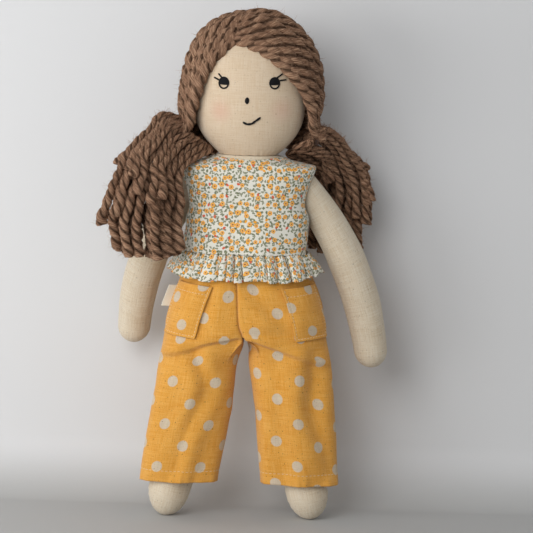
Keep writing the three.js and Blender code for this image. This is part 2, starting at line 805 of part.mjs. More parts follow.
// Patch pockets lie on the trouser fronts and follow their surface
function pocketGeometry(side) {
  const columns = 6;
  const rows = 5;
  const sheet = (lift) => Array.from({ length: rows + 1 }, (unused, row) => {
    const share = row / rows;
    return Array.from({ length: columns + 1 }, (alsoUnused, column) => {
      const across = column / columns;
      const top = pocketTopAngles[0] + across * (pocketTopAngles[1] - pocketTopAngles[0]);
      const bottom = pocketBottomAngles[0] + across * (pocketBottomAngles[1] - pocketBottomAngles[0]);
      const angle = radians(top + share * (bottom - top));
      const z = pocketTop + share * (pocketBottom - pocketTop) - pocketTilt * (1 - across);
      return trouserPoint(side, angle, z, lift);
    });
  });
  return clothPatch(sheet(pocketLift), sheet(pocketLift + pocketCloth));
}

addPiece('pocket_left', pocketGeometry(-1), dottedCotton);
addPiece('pocket_right', pocketGeometry(1), dottedCotton);

// Folded ribbon tag, sewn by one edge into the side seam
const tagAngle = Math.PI / 2;
const tagSeat = trouserPoint(-1, tagAngle, tagTop - tagHeight, seatGap);
const tag = new THREE.BoxGeometry(tagLength, tagThickness, tagHeight)
  .translate(-tagLength / 2, 0, -tagHeight / 2);
const tagMesh = addPiece('side_tag', tag, ribbon);
tagMesh.position.set(tagSeat.x, tagSeat.y, tagTop);
tagMesh.rotation.z = radians(tagTurn);

// Embroidery follows the face: a flat outline is pushed back onto the head.
const eyeZ = headBase + eyeRise;
const noseZ = headBase + noseRise;

function stitched(outline) {
  const shape = new THREE.Shape(outline.map(([x, z]) => new THREE.Vector2(x, z)));
  const flat = new THREE.ExtrudeGeometry(shape, { depth: threadDepth, bevelEnabled: false });
  flat.rotateX(Math.PI / 2);
  const place = flat.attributes.position;
  for (let i = 0; i < place.count; i += 1) {
    const [x, depth, z] = [place.getX(i), place.getY(i), place.getZ(i)];
    place.setXYZ(i, x, faceY(x, z) - threadLift - threadDepth + Math.abs(depth), z);
  }
  flat.deleteAttribute('normal');
  flat.deleteAttribute('uv');
  return facingOut(mergeVertices(flat, 1e-5));
}

function oval(centreX, centreZ, halfWidth, halfHeight, count) {
  return Array.from({ length: count }, (unused, i) => {
    const angle = 2 * Math.PI * i / count;
    return [centreX + halfWidth * Math.cos(angle), centreZ + halfHeight * Math.sin(angle)];
  });
}

// A stitched line through points, with square ends.
function strip(points, width) {
  const left = [];
  const right = [];
  points.forEach(([x, z], k) => {
    const [px, pz] = points[Math.max(k - 1, 0)];
    const [qx, qz] = points[Math.min(k + 1, points.length - 1)];
    const length = Math.hypot(qx - px, qz - pz);
    const [nx, nz] = [-(qz - pz) / length, (qx - px) / length];
    left.push([x + nx * width / 2, z + nz * width / 2]);
    right.push([x - nx * width / 2, z - nz * width / 2]);
  });
  return [...left, ...right.reverse()];
}

function eyeGeometry(side) {
  const iris = stitched(oval(side * eyeX, eyeZ, eyeHalfWidth, eyeHalfHeight, 20));
  const lashes = [[55, 4.0], [20, 4.2]].map(([angle, length]) => {
    const [ax, az] = [Math.cos(radians(angle)), Math.sin(radians(angle))];
    const start = [side * (eyeX + 0.7 * eyeHalfWidth * ax), eyeZ + 0.7 * eyeHalfHeight * az];
    const end = [side * (eyeX + (eyeHalfWidth + length) * ax), eyeZ + (eyeHalfHeight + length) * az];
    return stitched(strip([start, end], lashWidth));
  });
  return joined(iris, ...lashes);
}

addPiece('eye_left', eyeGeometry(-1), blackThread);
addPiece('eye_right', eyeGeometry(1), blackThread);
addPiece('nose_stitch', stitched(oval(noseX, noseZ, noseHalfWidth, noseHalfHeight, 12)), blackThread);
const mouthLine = mouthPoints.map(([x, rise]) => [x, headBase + rise]);
addPiece('mouth_stitch', stitched(strip(mouthLine, mouthWidth)), blackThread);

// Hair: a thick cap round the head, open at the face, parted into two halves
const hairTop = headTop + hairOverCrown;
const hairBottom = headBase + hairBottomRise;
const tieZ = headBase + tieRise;
const hairShape = [
  [0.121, 0.965, 0.97],
  [0.263, 1, 1],
  [0.424, 0.985, 0.985],
  [0.586, 0.91, 0.92],
  [0.727, 0.8, 0.82],
  [0.869, 0.6, 0.62],
  [0.96, 0.33, 0.34],
];
const hairStations = [
  { z: hairBottom, halfWidth: hairHalfWidth * 0.78, halfDepth: hairHalfDepth * 0.8 },
  { z: tieZ, halfWidth: tieX, halfDepth: hairHalfDepth * 0.9 },
  ...hairShape.map(([share, wide, deep]) => ({
    z: tieZ + share * (hairTop - tieZ),
    halfWidth: hairHalfWidth * wide,
    halfDepth: hairHalfDepth * deep,
  })),
];

// The edge of the hair round the face, seen from ahead
const hairline = [
  [partingX, partingRise], [-24, 83.2], [-33, 67.2], [-38.5, 47.2], [-40.5, 23.2], [-37, -7],
  [42, -7], [45, 23.2], [43, 43.2], [34, 62.2], [18, 77.2], [2, 86.2],
].map(([x, rise]) => [x, headBase + rise]);

// The parting runs back over the crown, from the hairline to the middle of the nape.
const partingTurn = Math.atan2(-partingX, hairHalfDepth);

const headClearance = 2 * touchGap;
const bunchRoomRadius = bunchRadius + tieThickness + 3 * touchGap;

function hairPieces() {
  const rings = stuffedRings(hairStations, 0, 28, 2.1);
  const cap = closedSurface(rings, [vector(0, 0, hairBottom), vector(0, 0, hairTop)]);
  cap.translate(0, hairSetBack, 0);
  const headRings = movedRings(stuffedRings(headStations, 0, headSegments, headPower), headClearance);
  const headRoom = closedSurface(headRings, [vector(0, 0, headBase - 1), headPole(-headClearance)]);
  const shape = new THREE.Shape(hairline.map(([x, z]) => new THREE.Vector2(x, z)));
  const face = new THREE.ExtrudeGeometry(shape, { depth: farAway, bevelEnabled: false })
    .rotateX(Math.PI / 2);
  const bunchRooms = [-1, 1].map((side) => new THREE.CylinderGeometry(
    bunchRoomRadius, bunchRoomRadius, farAway, 24)
    .rotateZ(Math.PI / 2).translate(side * (tieX + farAway / 2), 0, tieZ));
  const hair = cut(cap, headRoom, face, ...bunchRooms);
  const halfSlot = partingWidth / 2 + touchGap;
  const room = (low, high) => boxBetween(vector(low, -farAway, 0), vector(high, farAway, farAway))
    .rotateZ(partingTurn);
  return {
    left: kept(hair, room(-farAway, -halfSlot)),
    right: kept(hair, room(halfSlot, farAway)),
  };
}

const hair = hairPieces();
addPiece('hair_left', hair.left, yarn);
addPiece('hair_right', hair.right, yarn);

// Tape along the parting, on which the yarn is stitched to the head
function partingTape() {
  const count = 12;
  const halfWidth = partingWidth / 2;
  const share = (halfX, halfY) => 1 / ((Math.sin(partingTurn) / halfX) ** headPower
    + (Math.cos(partingTurn) / halfY) ** headPower) ** (1 / headPower);
  const reaches = [...headStations.map((s) => [s.z, share(s.halfWidth, s.halfDepth)]),
    [headTop, 0]];
  const middleZ = headBase + headHeight / 2;
  const rows = Array.from({ length: count + 1 }, (unused, k) => {
    const angle = radians(38 + (175 - 38) * k / count);
    const z = middleZ + headHeight / 2 * Math.sin(angle);
    const y = -Math.sign(Math.cos(angle)) * between(reaches, z);
    const out = vector(0, y, z - middleZ).normalize();
    const across = (x, lift) => vector(x, y, z).addScaledVector(out, lift);
    return [
      across(-halfWidth, tapeLift),
      across(halfWidth, tapeLift),
      across(halfWidth, tapeLift + partingTapeThickness),
      across(-halfWidth, tapeLift + partingTapeThickness),
    ];
  });
  const middle = (ring) => ring.reduce((sum, p) => sum.add(p), vector(0, 0, 0)).divideScalar(4);
  return closedSurface(rows, [middle(rows[0]), middle(rows[count])]).rotateZ(partingTurn);
}

addPiece('parting_tape', partingTape(), yarn);

// Elastic ties round the bunches
function tieGeometry() {
  const profile = Array.from({ length: 7 }, (unused, k) => {
    const angle = 2 * Math.PI * k / 6;
    const middle = bunchRadius + tieFit + tieThickness / 2;
    return new THREE.Vector2(middle + tieThickness / 2 * Math.cos(angle), tieThickness / 2 * Math.sin(angle));
  });
  const ring = new THREE.LatheGeometry(profile, 16);
  ring.deleteAttribute('normal');
  ring.deleteAttribute('uv');
  return facingOut(mergeVertices(ring, 1e-5)).rotateZ(Math.PI / 2);
}

// A pigtail is a soft bunch that leaves its tie sideways, arches over and hangs. Each station
// gives the edge near the neck and the far edge, both as (outward, up) from the tie's middle, then
// the half thickness and how far it lies off the tie.
const leftPigtail = {
  side: -1,
  stations: [
    [[7, -11], [7, 11], 11, 0],
    [[9, -16], [22, 16], 15, 9],
    [[6, -22], [41, 5], 18, 21],
    [[-1, -33], [59, -18], 21, 31],
    [[-6, -53], [68, -42], 22, 38],
    [[-7, -74], [71, -69], 22, 39],
    [[-4, -89], [58, -83], 19, 39],
  ],
  end: [[0, -97], [42, -96], 12, 39],
  tip: [21, -104],
};
const rightPigtail = {
  side: 1,
  stations: [
    [[7, -11], [7, 11], 11, 0],
    [[10, -16], [19, 10], 14, 12],
    [[7, -22], [35, -5], 16, 28],
    [[1, -35], [49, -24], 18, 41],
    [[-3, -55], [54, -47], 19, 46],
    [[-4, -76], [55, -73], 19, 47],
    [[-2, -92], [53, -90], 16, 47],
  ],
  end: [[3, -101], [41, -100], 10, 47],
  tip: [21, -108],
};

function pigtailGeometry(tail) {
  const forward = tail.side;
  const stations = [
    [[touchGap, -bunchRadius], [touchGap, bunchRadius], bunchRadius, 0],
    ...tail.stations,
    tail.end,
  ];
  const rings = stations.map(([[nearX, nearZ], [farX, farZ], halfThickness, off]) => Array.from(
    { length: pigtailSegments }, (unused, i) => {
      const angle = 2 * Math.PI * i / pigtailSegments;
      const along = (1 - Math.cos(angle)) / 2;
      return vector(
        tail.side * (tieX + nearX + (farX - nearX) * along),
        forward * (off + halfThickness * Math.sin(angle)),
        tieZ + nearZ + (farZ - nearZ) * along,
      );
    }));
  return closedSurface(rings, [
    vector(tail.side * (tieX + touchGap), 0, tieZ),
    vector(tail.side * (tieX + tail.tip[0]), forward * tail.end[3], tieZ + tail.tip[1]),
  ]);
}

for (const [word, tail] of [['left', leftPigtail], ['right', rightPigtail]]) {
  addPiece(`pigtail_${word}`, pigtailGeometry(tail), yarn);
  const tie = addPiece(`hair_tie_${word}`, tieGeometry(), elastic);
  tie.position.set(tail.side * (tieX + touchGap + tieThickness / 2 + tieSetOff), 0, tieZ);
}

// The floor lies at zero, and the middle of the bounding box over the origin.
doll.updateMatrixWorld(true);
const extent = new THREE.Box3().setFromObject(doll, true);
const middleOf = extent.getCenter(vector());
doll.position.set(-middleOf.x, -middleOf.y, -extent.min.z);

export default doll;
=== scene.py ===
# The looks of a handmade calico rag doll with yarn pigtails, a floral blouse and dotted trousers.
# Lengths are millimetres from the middle of the doll's stance, +Z up, with the face towards -Y.
# The sizes follow those of the solids, so that each piece fits its solid.

import json
import math

import bpy
import mathutils
import numpy as np
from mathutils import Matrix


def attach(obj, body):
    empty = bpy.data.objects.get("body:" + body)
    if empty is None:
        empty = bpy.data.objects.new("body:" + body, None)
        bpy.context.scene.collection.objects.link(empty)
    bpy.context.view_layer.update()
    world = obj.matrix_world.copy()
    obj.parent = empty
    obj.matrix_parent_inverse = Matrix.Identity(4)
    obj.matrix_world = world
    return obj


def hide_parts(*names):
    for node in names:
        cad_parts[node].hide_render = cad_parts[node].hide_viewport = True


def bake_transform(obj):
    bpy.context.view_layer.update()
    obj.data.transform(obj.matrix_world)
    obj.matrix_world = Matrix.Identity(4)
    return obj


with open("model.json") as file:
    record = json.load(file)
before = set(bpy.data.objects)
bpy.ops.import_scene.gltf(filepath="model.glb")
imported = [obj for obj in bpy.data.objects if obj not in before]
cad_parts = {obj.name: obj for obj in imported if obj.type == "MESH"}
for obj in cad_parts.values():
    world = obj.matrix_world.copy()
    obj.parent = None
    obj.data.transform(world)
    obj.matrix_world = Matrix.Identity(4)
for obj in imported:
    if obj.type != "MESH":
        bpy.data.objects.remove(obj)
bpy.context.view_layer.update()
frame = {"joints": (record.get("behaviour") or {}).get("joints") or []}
jointPlaces = {joint["name"]: np.array(joint["pos_m"]) for joint in frame["joints"]}
stanceMiddle = (jointPlaces["leg_left_swing"] + jointPlaces["leg_right_swing"]) / 2 * [1, 1, 0]
random = np.random.default_rng(11)


# Millimetres from the stance's middle become metres in the frame. Every piece passes through here.
def onFrame(points):
    return np.asarray(points, float) / 1000 + stanceMiddle


# Curves and surfaces

# A smooth curve through stops: cubic between each two, with averaged slopes.
def smoothly(stops, values, places):
    stops = np.asarray(stops, float)
    values = np.asarray(values, float)
    places = np.asarray(places, float)
    slopes = np.gradient(values, stops, axis=0)
    first = np.clip(np.searchsorted(stops, places, side="right") - 1, 0, len(stops) - 2)
    span = stops[first + 1] - stops[first]
    share = np.clip((places - stops[first]) / span, 0, 1)
    if values.ndim > 1:
        span = span[..., None]
        share = share[..., None]
    square, cube = share ** 2, share ** 3
    return ((2 * cube - 3 * square + 1) * values[first] + (cube - 2 * square + share) * span * slopes[first]
            + (3 * square - 2 * cube) * values[first + 1] + (cube - square) * span * slopes[first + 1])


# A share of the way from low to high, clipped, and eased as 3 s squared minus 2 s cubed.
def smoothStep(value, low, high):
    share = np.clip((np.asarray(value, float) - low) / (high - low), 0, 1)
    return share * share * (3 - 2 * share)


# Lengths from the first point along an axis of the array, as a running sum of the steps.
def lengthAlong(points, axis):
    steps = np.linalg.norm(np.diff(points, axis=axis), axis=-1)
    start = np.zeros_like(np.take(steps, [0], axis=axis))
    return np.concatenate([start, np.cumsum(steps, axis=axis)], axis=axis)


# Each vector divided by its length.
def unit(vectors):
    return vectors / np.maximum(np.linalg.norm(vectors, axis=-1, keepdims=True), 1e-9)


# Soft uneven waves in space, between about -1 and 1: a sum of sines in random directions.
def waves(points, length, seed, count=7):
    dice = np.random.default_rng(seed)
    ways = unit(dice.normal(size=(count, 3))) * (2 * math.pi / length) * dice.uniform(0.7, 1.5, (count, 1))
    return np.sin(points @ ways.T + dice.uniform(0, 2 * math.pi, count)).sum(-1) / math.sqrt(2 * count)


# Points of rounded outlines, from an ellipse at power 2 towards a box, spaced evenly along them.
# The turns start at the back (0), pass the doll's right side (0.25) and its front (0.5).
def roundedRings(heights, halfWidths, halfDepths, powers, turns):
    fine = np.linspace(0, 2 * math.pi, 1441)
    rings = []
    for z, wide, deep, power in zip(heights, halfWidths, halfDepths, powers):
        across = -np.sin(fine)
        along = np.cos(fine)
        x = wide * np.sign(across) * np.abs(across) ** (2 / power)
        y = deep * np.sign(along) * np.abs(along) ** (2 / power)
        reach = lengthAlong(np.stack([x, y], -1), 0)
        wanted = np.asarray(turns) * reach[-1]
        rings.append(np.stack([np.interp(wanted, reach, x), np.interp(wanted, reach, y),
                               np.full(len(wanted), z)], -1))
    return np.array(rings)


# exp(-(value / width) squared): 1 at zero and next to nothing two widths away.
def bell(value, width):
    return np.exp(-(value / width) ** 2)


# The points of a line at given lengths along it.
def pointsAt(places, reach, line):
    return np.stack([np.interp(places, reach, column) for column in line.T], -1)


# The matrix that turns points about X, Y or Z (0, 1 or 2) by an angle in degrees.
def turnAbout(axis, degrees):
    matrix = np.eye(3)
    first, second = (axis + 1) % 3, (axis + 2) % 3
    matrix[first, first] = matrix[second, second] = math.cos(math.radians(degrees))
    matrix[second, first] = math.sin(math.radians(degrees))
    matrix[first, second] = -matrix[second, first]
    return matrix


# Where directions from the middle of a rounded form meet it: the sum of |coordinate / half size|
# to the power is 1 there. Returns the places and the directions away from the form.
def onForm(ways, size, power):
    spots = ways * (np.abs(ways / size) ** power).sum(-1, keepdims=True) ** (-1 / power)
    return spots, unit(spots / size ** 2)


# Unit normals of a grid of points, from its own rows and columns.
def gridNormals(grid, closed):
    if closed:
        across = np.roll(grid, -1, axis=1) - np.roll(grid, 1, axis=1)
    else:
        across = np.gradient(grid, axis=1)
    normals = unit(np.cross(across, np.gradient(grid, axis=0)))
    middle = grid.reshape(-1, 3).mean(0)
    outward = np.sum(normals * (grid - middle), axis=(0, 1, 2))
    return normals if outward > 0 else -normals


# Pieces

# A mesh from points and quads or triangles, with its cloth map and any values on its points.
def linkPiece(name, points, faces, uvs=None, **values):
    mesh = bpy.data.meshes.new(name)
    counts = np.concatenate([np.full(len(part), part.shape[1]) for part in faces])
    corners = np.concatenate([part.ravel() for part in faces])
    mesh.vertices.add(len(points))
    mesh.vertices.foreach_set("co", onFrame(points).astype(np.float32).ravel())
    mesh.loops.add(len(corners))
    mesh.loops.foreach_set("vertex_index", corners.astype(np.int32))
    mesh.polygons.add(len(counts))
    mesh.polygons.foreach_set("loop_start", np.concatenate([[0], np.cumsum(counts)[:-1]]).astype(np.int32))
    mesh.polygons.foreach_set("use_smooth", np.ones(len(counts), bool))
    if uvs is not None:
        layer = mesh.uv_layers.new(name="clothMap")
        spots = np.concatenate([part.reshape(-1, 2) for part in uvs])
        layer.data.foreach_set("uv", spots.astype(np.float32).ravel())
    for label, numbers in values.items():
        layer = mesh.attributes.new(label, "FLOAT", "POINT")
        layer.data.foreach_set("value", np.asarray(numbers, np.float32).ravel())
    mesh.update(calc_edges=True)
    piece = bpy.data.objects.new(name, mesh)
    bpy.context.scene.collection.objects.link(piece)
    return piece


# Turns the faces so that they look away from the middle of the piece, or from a point given.
def facedOut(points, faces, uvs, middle=None):
    quads = faces[0]
    corners = points[quads]
    normals = np.cross(corners[:, 2] - corners[:, 0], corners[:, 3] - corners[:, 1])
    middle = points.mean(0) if middle is None else np.asarray(middle, float)
    if np.sum(normals * (corners.mean(1) - middle)) >= 0:
        return faces, uvs
    return [part[:, ::-1] for part in faces], [part[:, ::-1] for part in uvs]


# The corners of quads between a row and the next, and a column and the one after it.
def quadCorners(row, column, after, columns):
    return np.stack([row * columns + column, row * columns + after,
                     (row + 1) * columns + after, (row + 1) * columns + column], -1)


# Triangles that close the first and the last row of a tube, with two poles as their tips.
def fanCorners(rows, columns, pole):
    here = np.arange(columns)
    there = (here + 1) % columns
    last = (rows - 1) * columns
    return np.concatenate([np.stack([np.full(columns, pole), there, here], -1),
                           np.stack([np.full(columns, pole + 1), last + here, last + there], -1)])


# A grid of points as a surface. Closed joins the last column to the first, poles close the first
# and last rows, and a mask leaves quads out. The map holds millimetres of cloth.
def gridPiece(name, grid, clothMap, closed=False, poles=False, mask=None, middle=None):
    rows, columns = grid.shape[:2]
    across = columns if closed else columns - 1
    wide = clothMap.shape[1]
    row, column = np.meshgrid(np.arange(rows - 1), np.arange(across), indexing="ij")
    quads = quadCorners(row, column, (column + 1) % columns, columns)
    spots = quadCorners(row, column, column + 1, wide)
    if mask is not None:
        quads, spots = quads[mask], spots[mask]
    quads, spots = quads.reshape(-1, 4), spots.reshape(-1, 4)
    points = grid.reshape(-1, 3)
    flat = clothMap.reshape(-1, 2)
    faces, uvs = [quads], [flat[spots]]
    if poles:
        faces.append(fanCorners(rows, columns, len(points)))
        points = np.concatenate([points, [grid[0].mean(0), grid[-1].mean(0)]])
        fanSpots = []
        for end in (0, -1):
            left, right = clothMap[end, :-1], clothMap[end, 1:]
            height = np.full(across, clothMap[end, :, 1].mean())
            pole = np.stack([(left[:, 0] + right[:, 0]) / 2, height], -1)
            fanSpots.append(np.stack([pole, left, right] if end else [pole, right, left], 1))
        uvs.append(np.concatenate(fanSpots))
    faces, uvs = facedOut(points, faces, uvs, middle)
    return linkPiece(name, points, faces, uvs)


# Cloth coordinates of a grid: along each row from a given column, and down the columns.
def clothMapOf(grid, closed, zero, heights=None):
    rows = np.concatenate([grid, grid[:, :1]], axis=1) if closed else grid
    along = lengthAlong(rows, 1)
    along = along - along[:, zero:zero + 1]
    down = lengthAlong(grid[:, zero:zero + 1], 0)[:, 0] if heights is None else heights
    return np.stack([along, np.broadcast_to(np.asarray(down)[:, None], along.shape)], -1)


# Steady cross directions along many paths at once: each turns as little as it can.
def crossWays(paths):
    forward = unit(np.gradient(paths, axis=1))
    helper = np.where(np.abs(forward[:, :1, 2:]) < 0.9, [0.0, 0.0, 1.0], [1.0, 0.0, 0.0])
    side = unit(np.cross(forward[:, 0], helper[:, 0]))
    sides = np.empty_like(paths)
    for step in range(paths.shape[1]):
        side = unit(side - np.sum(side * forward[:, step], -1, keepdims=True) * forward[:, step])
        sides[:, step] = side
    return sides, np.cross(forward, sides)


# Closed tubes from rings (tubes, rows, sides, 3). The map runs along each tube and round it.
def tubePiece(name, rings, along, girth, tones, grooves=None):
    count, rows, sides = rings.shape[:3]
    row, column = np.meshgrid(np.arange(rows - 1), np.arange(sides), indexing="ij")
    quads = quadCorners(row, column, (column + 1) % sides, sides).reshape(-1, 4)
    centres = rings.mean(2)
    starts = centres[:, 0] - 0.4 * (centres[:, 1] - centres[:, 0])
    ends = centres[:, -1] + 0.4 * (centres[:, -1] - centres[:, -2])
    each = rows * sides + 2
    points = np.concatenate([rings.reshape(count, -1, 3), starts[:, None], ends[:, None]], axis=1)
    fans = fanCorners(rows, sides, each - 2)
    shift = (np.arange(count) * each)[:, None, None]
    faces = [(quads[None] + shift).reshape(-1, 4), (fans[None] + shift).reshape(-1, 3)]
    roundWay = girth[:, :, None] * np.arange(sides + 1) / sides
    spots = np.stack([np.broadcast_to(along[:, :, None], roundWay.shape), roundWay], -1)
    quadSpots = np.stack([spots[:, :-1, :-1], spots[:, :-1, 1:], spots[:, 1:, 1:], spots[:, 1:, :-1]], 3)
    ringStart = np.stack([spots[:, 0, 1:], spots[:, 0, 1:], spots[:, 0, :-1]], 2)
    ringEnd = np.stack([spots[:, -1, :-1], spots[:, -1, :-1], spots[:, -1, 1:]], 2)
    uvs = [quadSpots.reshape(-1, 4, 2), np.concatenate([ringStart, ringEnd], 1).reshape(-1, 3, 2)]
    values = {"tone": np.repeat(np.asarray(tones, float), each)}
    # The groove values carry the painted shade between the plies.
    if grooves is not None:
        depth = np.concatenate([np.tile(grooves, rows), [0.3, 0.3]])
        values["groove"] = np.tile(depth, count)
    return linkPiece(name, points.reshape(-1, 3), faces, uvs, **values)


# Round threads along paths (threads, rows, 3), thinner at their ends like a stitch pulled tight.
def threadPiece(name, paths, radius, sides=8, tones=None, taper=0.35):
    sideways, upward = crossWays(paths)
    share = np.linspace(0, 1, paths.shape[1])
    swell = taper + (1 - taper) * np.sqrt(np.clip(4 * share * (1 - share), 0, 1))
    angle = 2 * math.pi * np.arange(sides) / sides
    rings = paths[:, :, None] + radius * swell[None, :, None, None] * (
        np.cos(angle)[None, None, :, None] * sideways[:, :, None]
        + np.sin(angle)[None, None, :, None] * upward[:, :, None])
    along = lengthAlong(paths, 1)
    girth = np.full(along.shape, 2 * math.pi * radius)
    shades = np.zeros(len(paths)) if tones is None else tones
    return tubePiece(name, rings, along, girth, shades)


# Running stitches along a line on cloth: each shows for its length and then dips under.
def stitchPaths(line, outward, stitch, gap, lift):
    reach = lengthAlong(line, 0)
    starts = np.arange(0, reach[-1] - stitch, stitch + gap)
    share = np.linspace(0, 1, 6)
    places = starts[:, None] + share * stitch
    rise = lift * (2 * np.sin(math.pi * share) - 1)
    return pointsAt(places, reach, line) + rise[None, :, None] * unit(pointsAt(places, reach, outward))


# Gives a piece its material.
def dress(piece, material):
    piece.data.materials.append(material)
    return piece


# Finishes a sheet: its material, its thickness and the nodes it stands for, which it hides.
def finishSheet(piece, material, thickness, nodes):
    dress(piece, material)
    solid = piece.modifiers.new("clothThickness", "SOLIDIFY")
    solid.thickness = thickness / 1000
    solid.offset = -1.0
    solid.use_even_offset = False
    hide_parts(*nodes)


# A row of a closed grid, with its first point again at the end.
def closedRow(grid, row):
    return np.concatenate([grid[row], grid[row, :1]])


# Materials

# One node tree with short calls that add nodes and link them.
class Graph:
    def __init__(self, tree):
        self.tree = tree

    def feed(self, socket, value):
        if isinstance(value, bpy.types.NodeSocket):
            self.tree.links.new(value, socket)
        else:
            socket.default_value = value

    def node(self, kind, settings, **inputs):
        made = self.tree.nodes.new(kind)
        for name, value in settings.items():
            setattr(made, name, value)
        for name, value in inputs.items():
            self.feed(made.inputs[name], value)
        return made

    def calc(self, operation, *values):
        made = self.tree.nodes.new("ShaderNodeMath")
        made.operation = operation
        for place, value in enumerate(values):
            self.feed(made.inputs[place], value)
        return made.outputs[0]

    def times(self, first, second):
        return self.calc("MULTIPLY", first, second)

    def plus(self, first, second):
        return self.calc("ADD", first, second)

    def minus(self, first, second):
        return self.calc("SUBTRACT", first, second)

    def over(self, first, second):
        return self.calc("DIVIDE", first, second)

    def larger(self, first, second):
        return self.calc("MAXIMUM", first, second)

    def below(self, first, second):
        return self.calc("LESS_THAN", first, second)

    # |sin(value * pace)|: a round ridge in each half turn.
    def ridges(self, value, pace):
        return self.calc("ABSOLUTE", self.calc("SINE", self.times(value, pace)))

    def move(self, operation, *values):
        made = self.tree.nodes.new("ShaderNodeVectorMath")
        made.operation = operation
        for place, value in enumerate(values):
            self.feed(made.inputs["Scale" if operation == "SCALE" and place == 1 else place], value)
        return made.outputs["Value" if operation in ("LENGTH", "DISTANCE", "DOT_PRODUCT") else "Vector"]

    def mix(self, share, first, second, blend="MIX"):
        made = self.tree.nodes.new("ShaderNodeMix")
        made.data_type = "RGBA"
        made.blend_type = blend
        self.feed(made.inputs[0], share)
        self.feed(made.inputs[6], first)
        self.feed(made.inputs[7], second)
        return made.outputs[2]

    def noise(self, vector, scale, detail=2.0, roughness=0.5):
        return self.node("ShaderNodeTexNoise", {"noise_dimensions": "3D"}, Vector=vector, Scale=scale,
                         Detail=detail, Roughness=roughness).outputs["Fac"]

    def split(self, vector):
        return self.node("ShaderNodeSeparateXYZ", {}, Vector=vector).outputs

    def turned(self, vector, angle):
        return self.node("ShaderNodeVectorRotate", {"rotation_type": "Z_AXIS"}, Vector=vector,
                         Angle=angle).outputs[0]

    # A colour darkened where a height is low: its product with low + gain * height. It paints the shade that
    # falls between the threads of a weave.
    def shaded(self, base, height, low, gain):
        shade = self.plus(low, self.times(height, gain))
        grey = self.node("ShaderNodeCombineColor", {}, Red=shade, Green=shade, Blue=shade).outputs[0]
        return self.mix(1.0, base, grey, "MULTIPLY")

    def step(self, value, low, high):
        made = self.node("ShaderNodeMapRange", {"interpolation_type": "SMOOTHSTEP"}, Value=value)
        made.inputs["From Min"].default_value = low
        made.inputs["From Max"].default_value = high
        return made.outputs["Result"]

    def group(self, tree, **inputs):
        made = self.tree.nodes.new("ShaderNodeGroup")
        made.node_tree = tree
        for name, value in inputs.items():
            self.feed(made.inputs[name], value)
        return made.outputs


# A node group with its sockets: its graph, the sockets it is given and those it tells.
def newGroup(name, inputs, outputs):
    tree = bpy.data.node_groups.new(name, "ShaderNodeTree")
    for way, labels in (("INPUT", inputs), ("OUTPUT", outputs)):
        for label in labels:
            kind = "NodeSocketVector" if label in ("Vector", "Local") else "NodeSocketFloat"
            tree.interface.new_socket(label, in_out=way, socket_type=kind)
    graph = Graph(tree)
    return graph, tree.nodes.new("NodeGroupInput").outputs, tree.nodes.new("NodeGroupOutput").inputs


# Plain weave: with one thread per unit, each thread is a round ridge, sin(pi x) across its width,
# and warp and weft take turns on top like the squares of a chessboard. Threads vary in width and
# shade by noise that is stretched along them.
def makeWeave():
    graph, given, told = newGroup("plainWeave", ["Vector", "Thread"], ["Height", "Streak"])
    split = graph.split(given["Vector"])
    bend = graph.noise(given["Vector"], 0.22, 2.0)
    shift = graph.times(graph.minus(bend, 0.5), 1.6)
    warpPlace = graph.over(graph.plus(split[0], shift), given["Thread"])
    weftPlace = graph.over(graph.minus(split[1], shift), given["Thread"])
    warp, weft = graph.ridges(warpPlace, math.pi), graph.ridges(weftPlace, math.pi)
    squares = graph.plus(graph.calc("FLOOR", warpPlace), graph.calc("FLOOR", weftPlace))
    turn = graph.calc("ABSOLUTE", graph.calc("MODULO", squares, 2.0))
    onTop = graph.node("ShaderNodeMix", {"data_type": "FLOAT"})
    graph.feed(onTop.inputs[0], turn)
    graph.feed(onTop.inputs[2], warp)
    graph.feed(onTop.inputs[3], weft)
    graph.feed(told["Height"], onTop.outputs[0])
    down = graph.noise(graph.move("MULTIPLY", given["Vector"], (1.7, 0.055, 1.0)), 1.0, 3.0, 0.6)
    across = graph.noise(graph.move("MULTIPLY", given["Vector"], (0.055, 1.7, 1.0)), 1.0, 3.0, 0.6)
    graph.feed(told["Streak"], graph.times(graph.plus(down, across), 0.5))
    return graph.tree


# Specks of seed husk in unbleached cotton: in one cell out of a few of a cellular pattern, a small
# drawn-out spot whose edge fades.
def makeSpecks():
    graph, given, told = newGroup("huskSpecks", ["Vector", "Cell", "Size", "Share"], ["Mask"])
    place = graph.move("SCALE", given["Vector"], graph.over(1.0, given["Cell"]))
    cells = graph.node("ShaderNodeTexVoronoi", {"voronoi_dimensions": "2D"}, Vector=place, Scale=1.0)
    hue = graph.node("ShaderNodeSeparateColor", {}, Color=cells.outputs["Color"])
    distance = graph.times(cells.outputs["Distance"], given["Cell"])
    size = graph.times(given["Size"], graph.plus(0.45, hue.outputs[1]))
    spot = graph.minus(1.0, graph.over(distance, size))
    chosen = graph.below(hue.outputs[0], given["Share"])
    depth = graph.plus(0.35, graph.times(hue.outputs[2], 0.65))
    mask = graph.times(graph.times(graph.step(spot, 0.0, 0.6), chosen), depth)
    graph.feed(told["Mask"], mask)
    return graph.tree


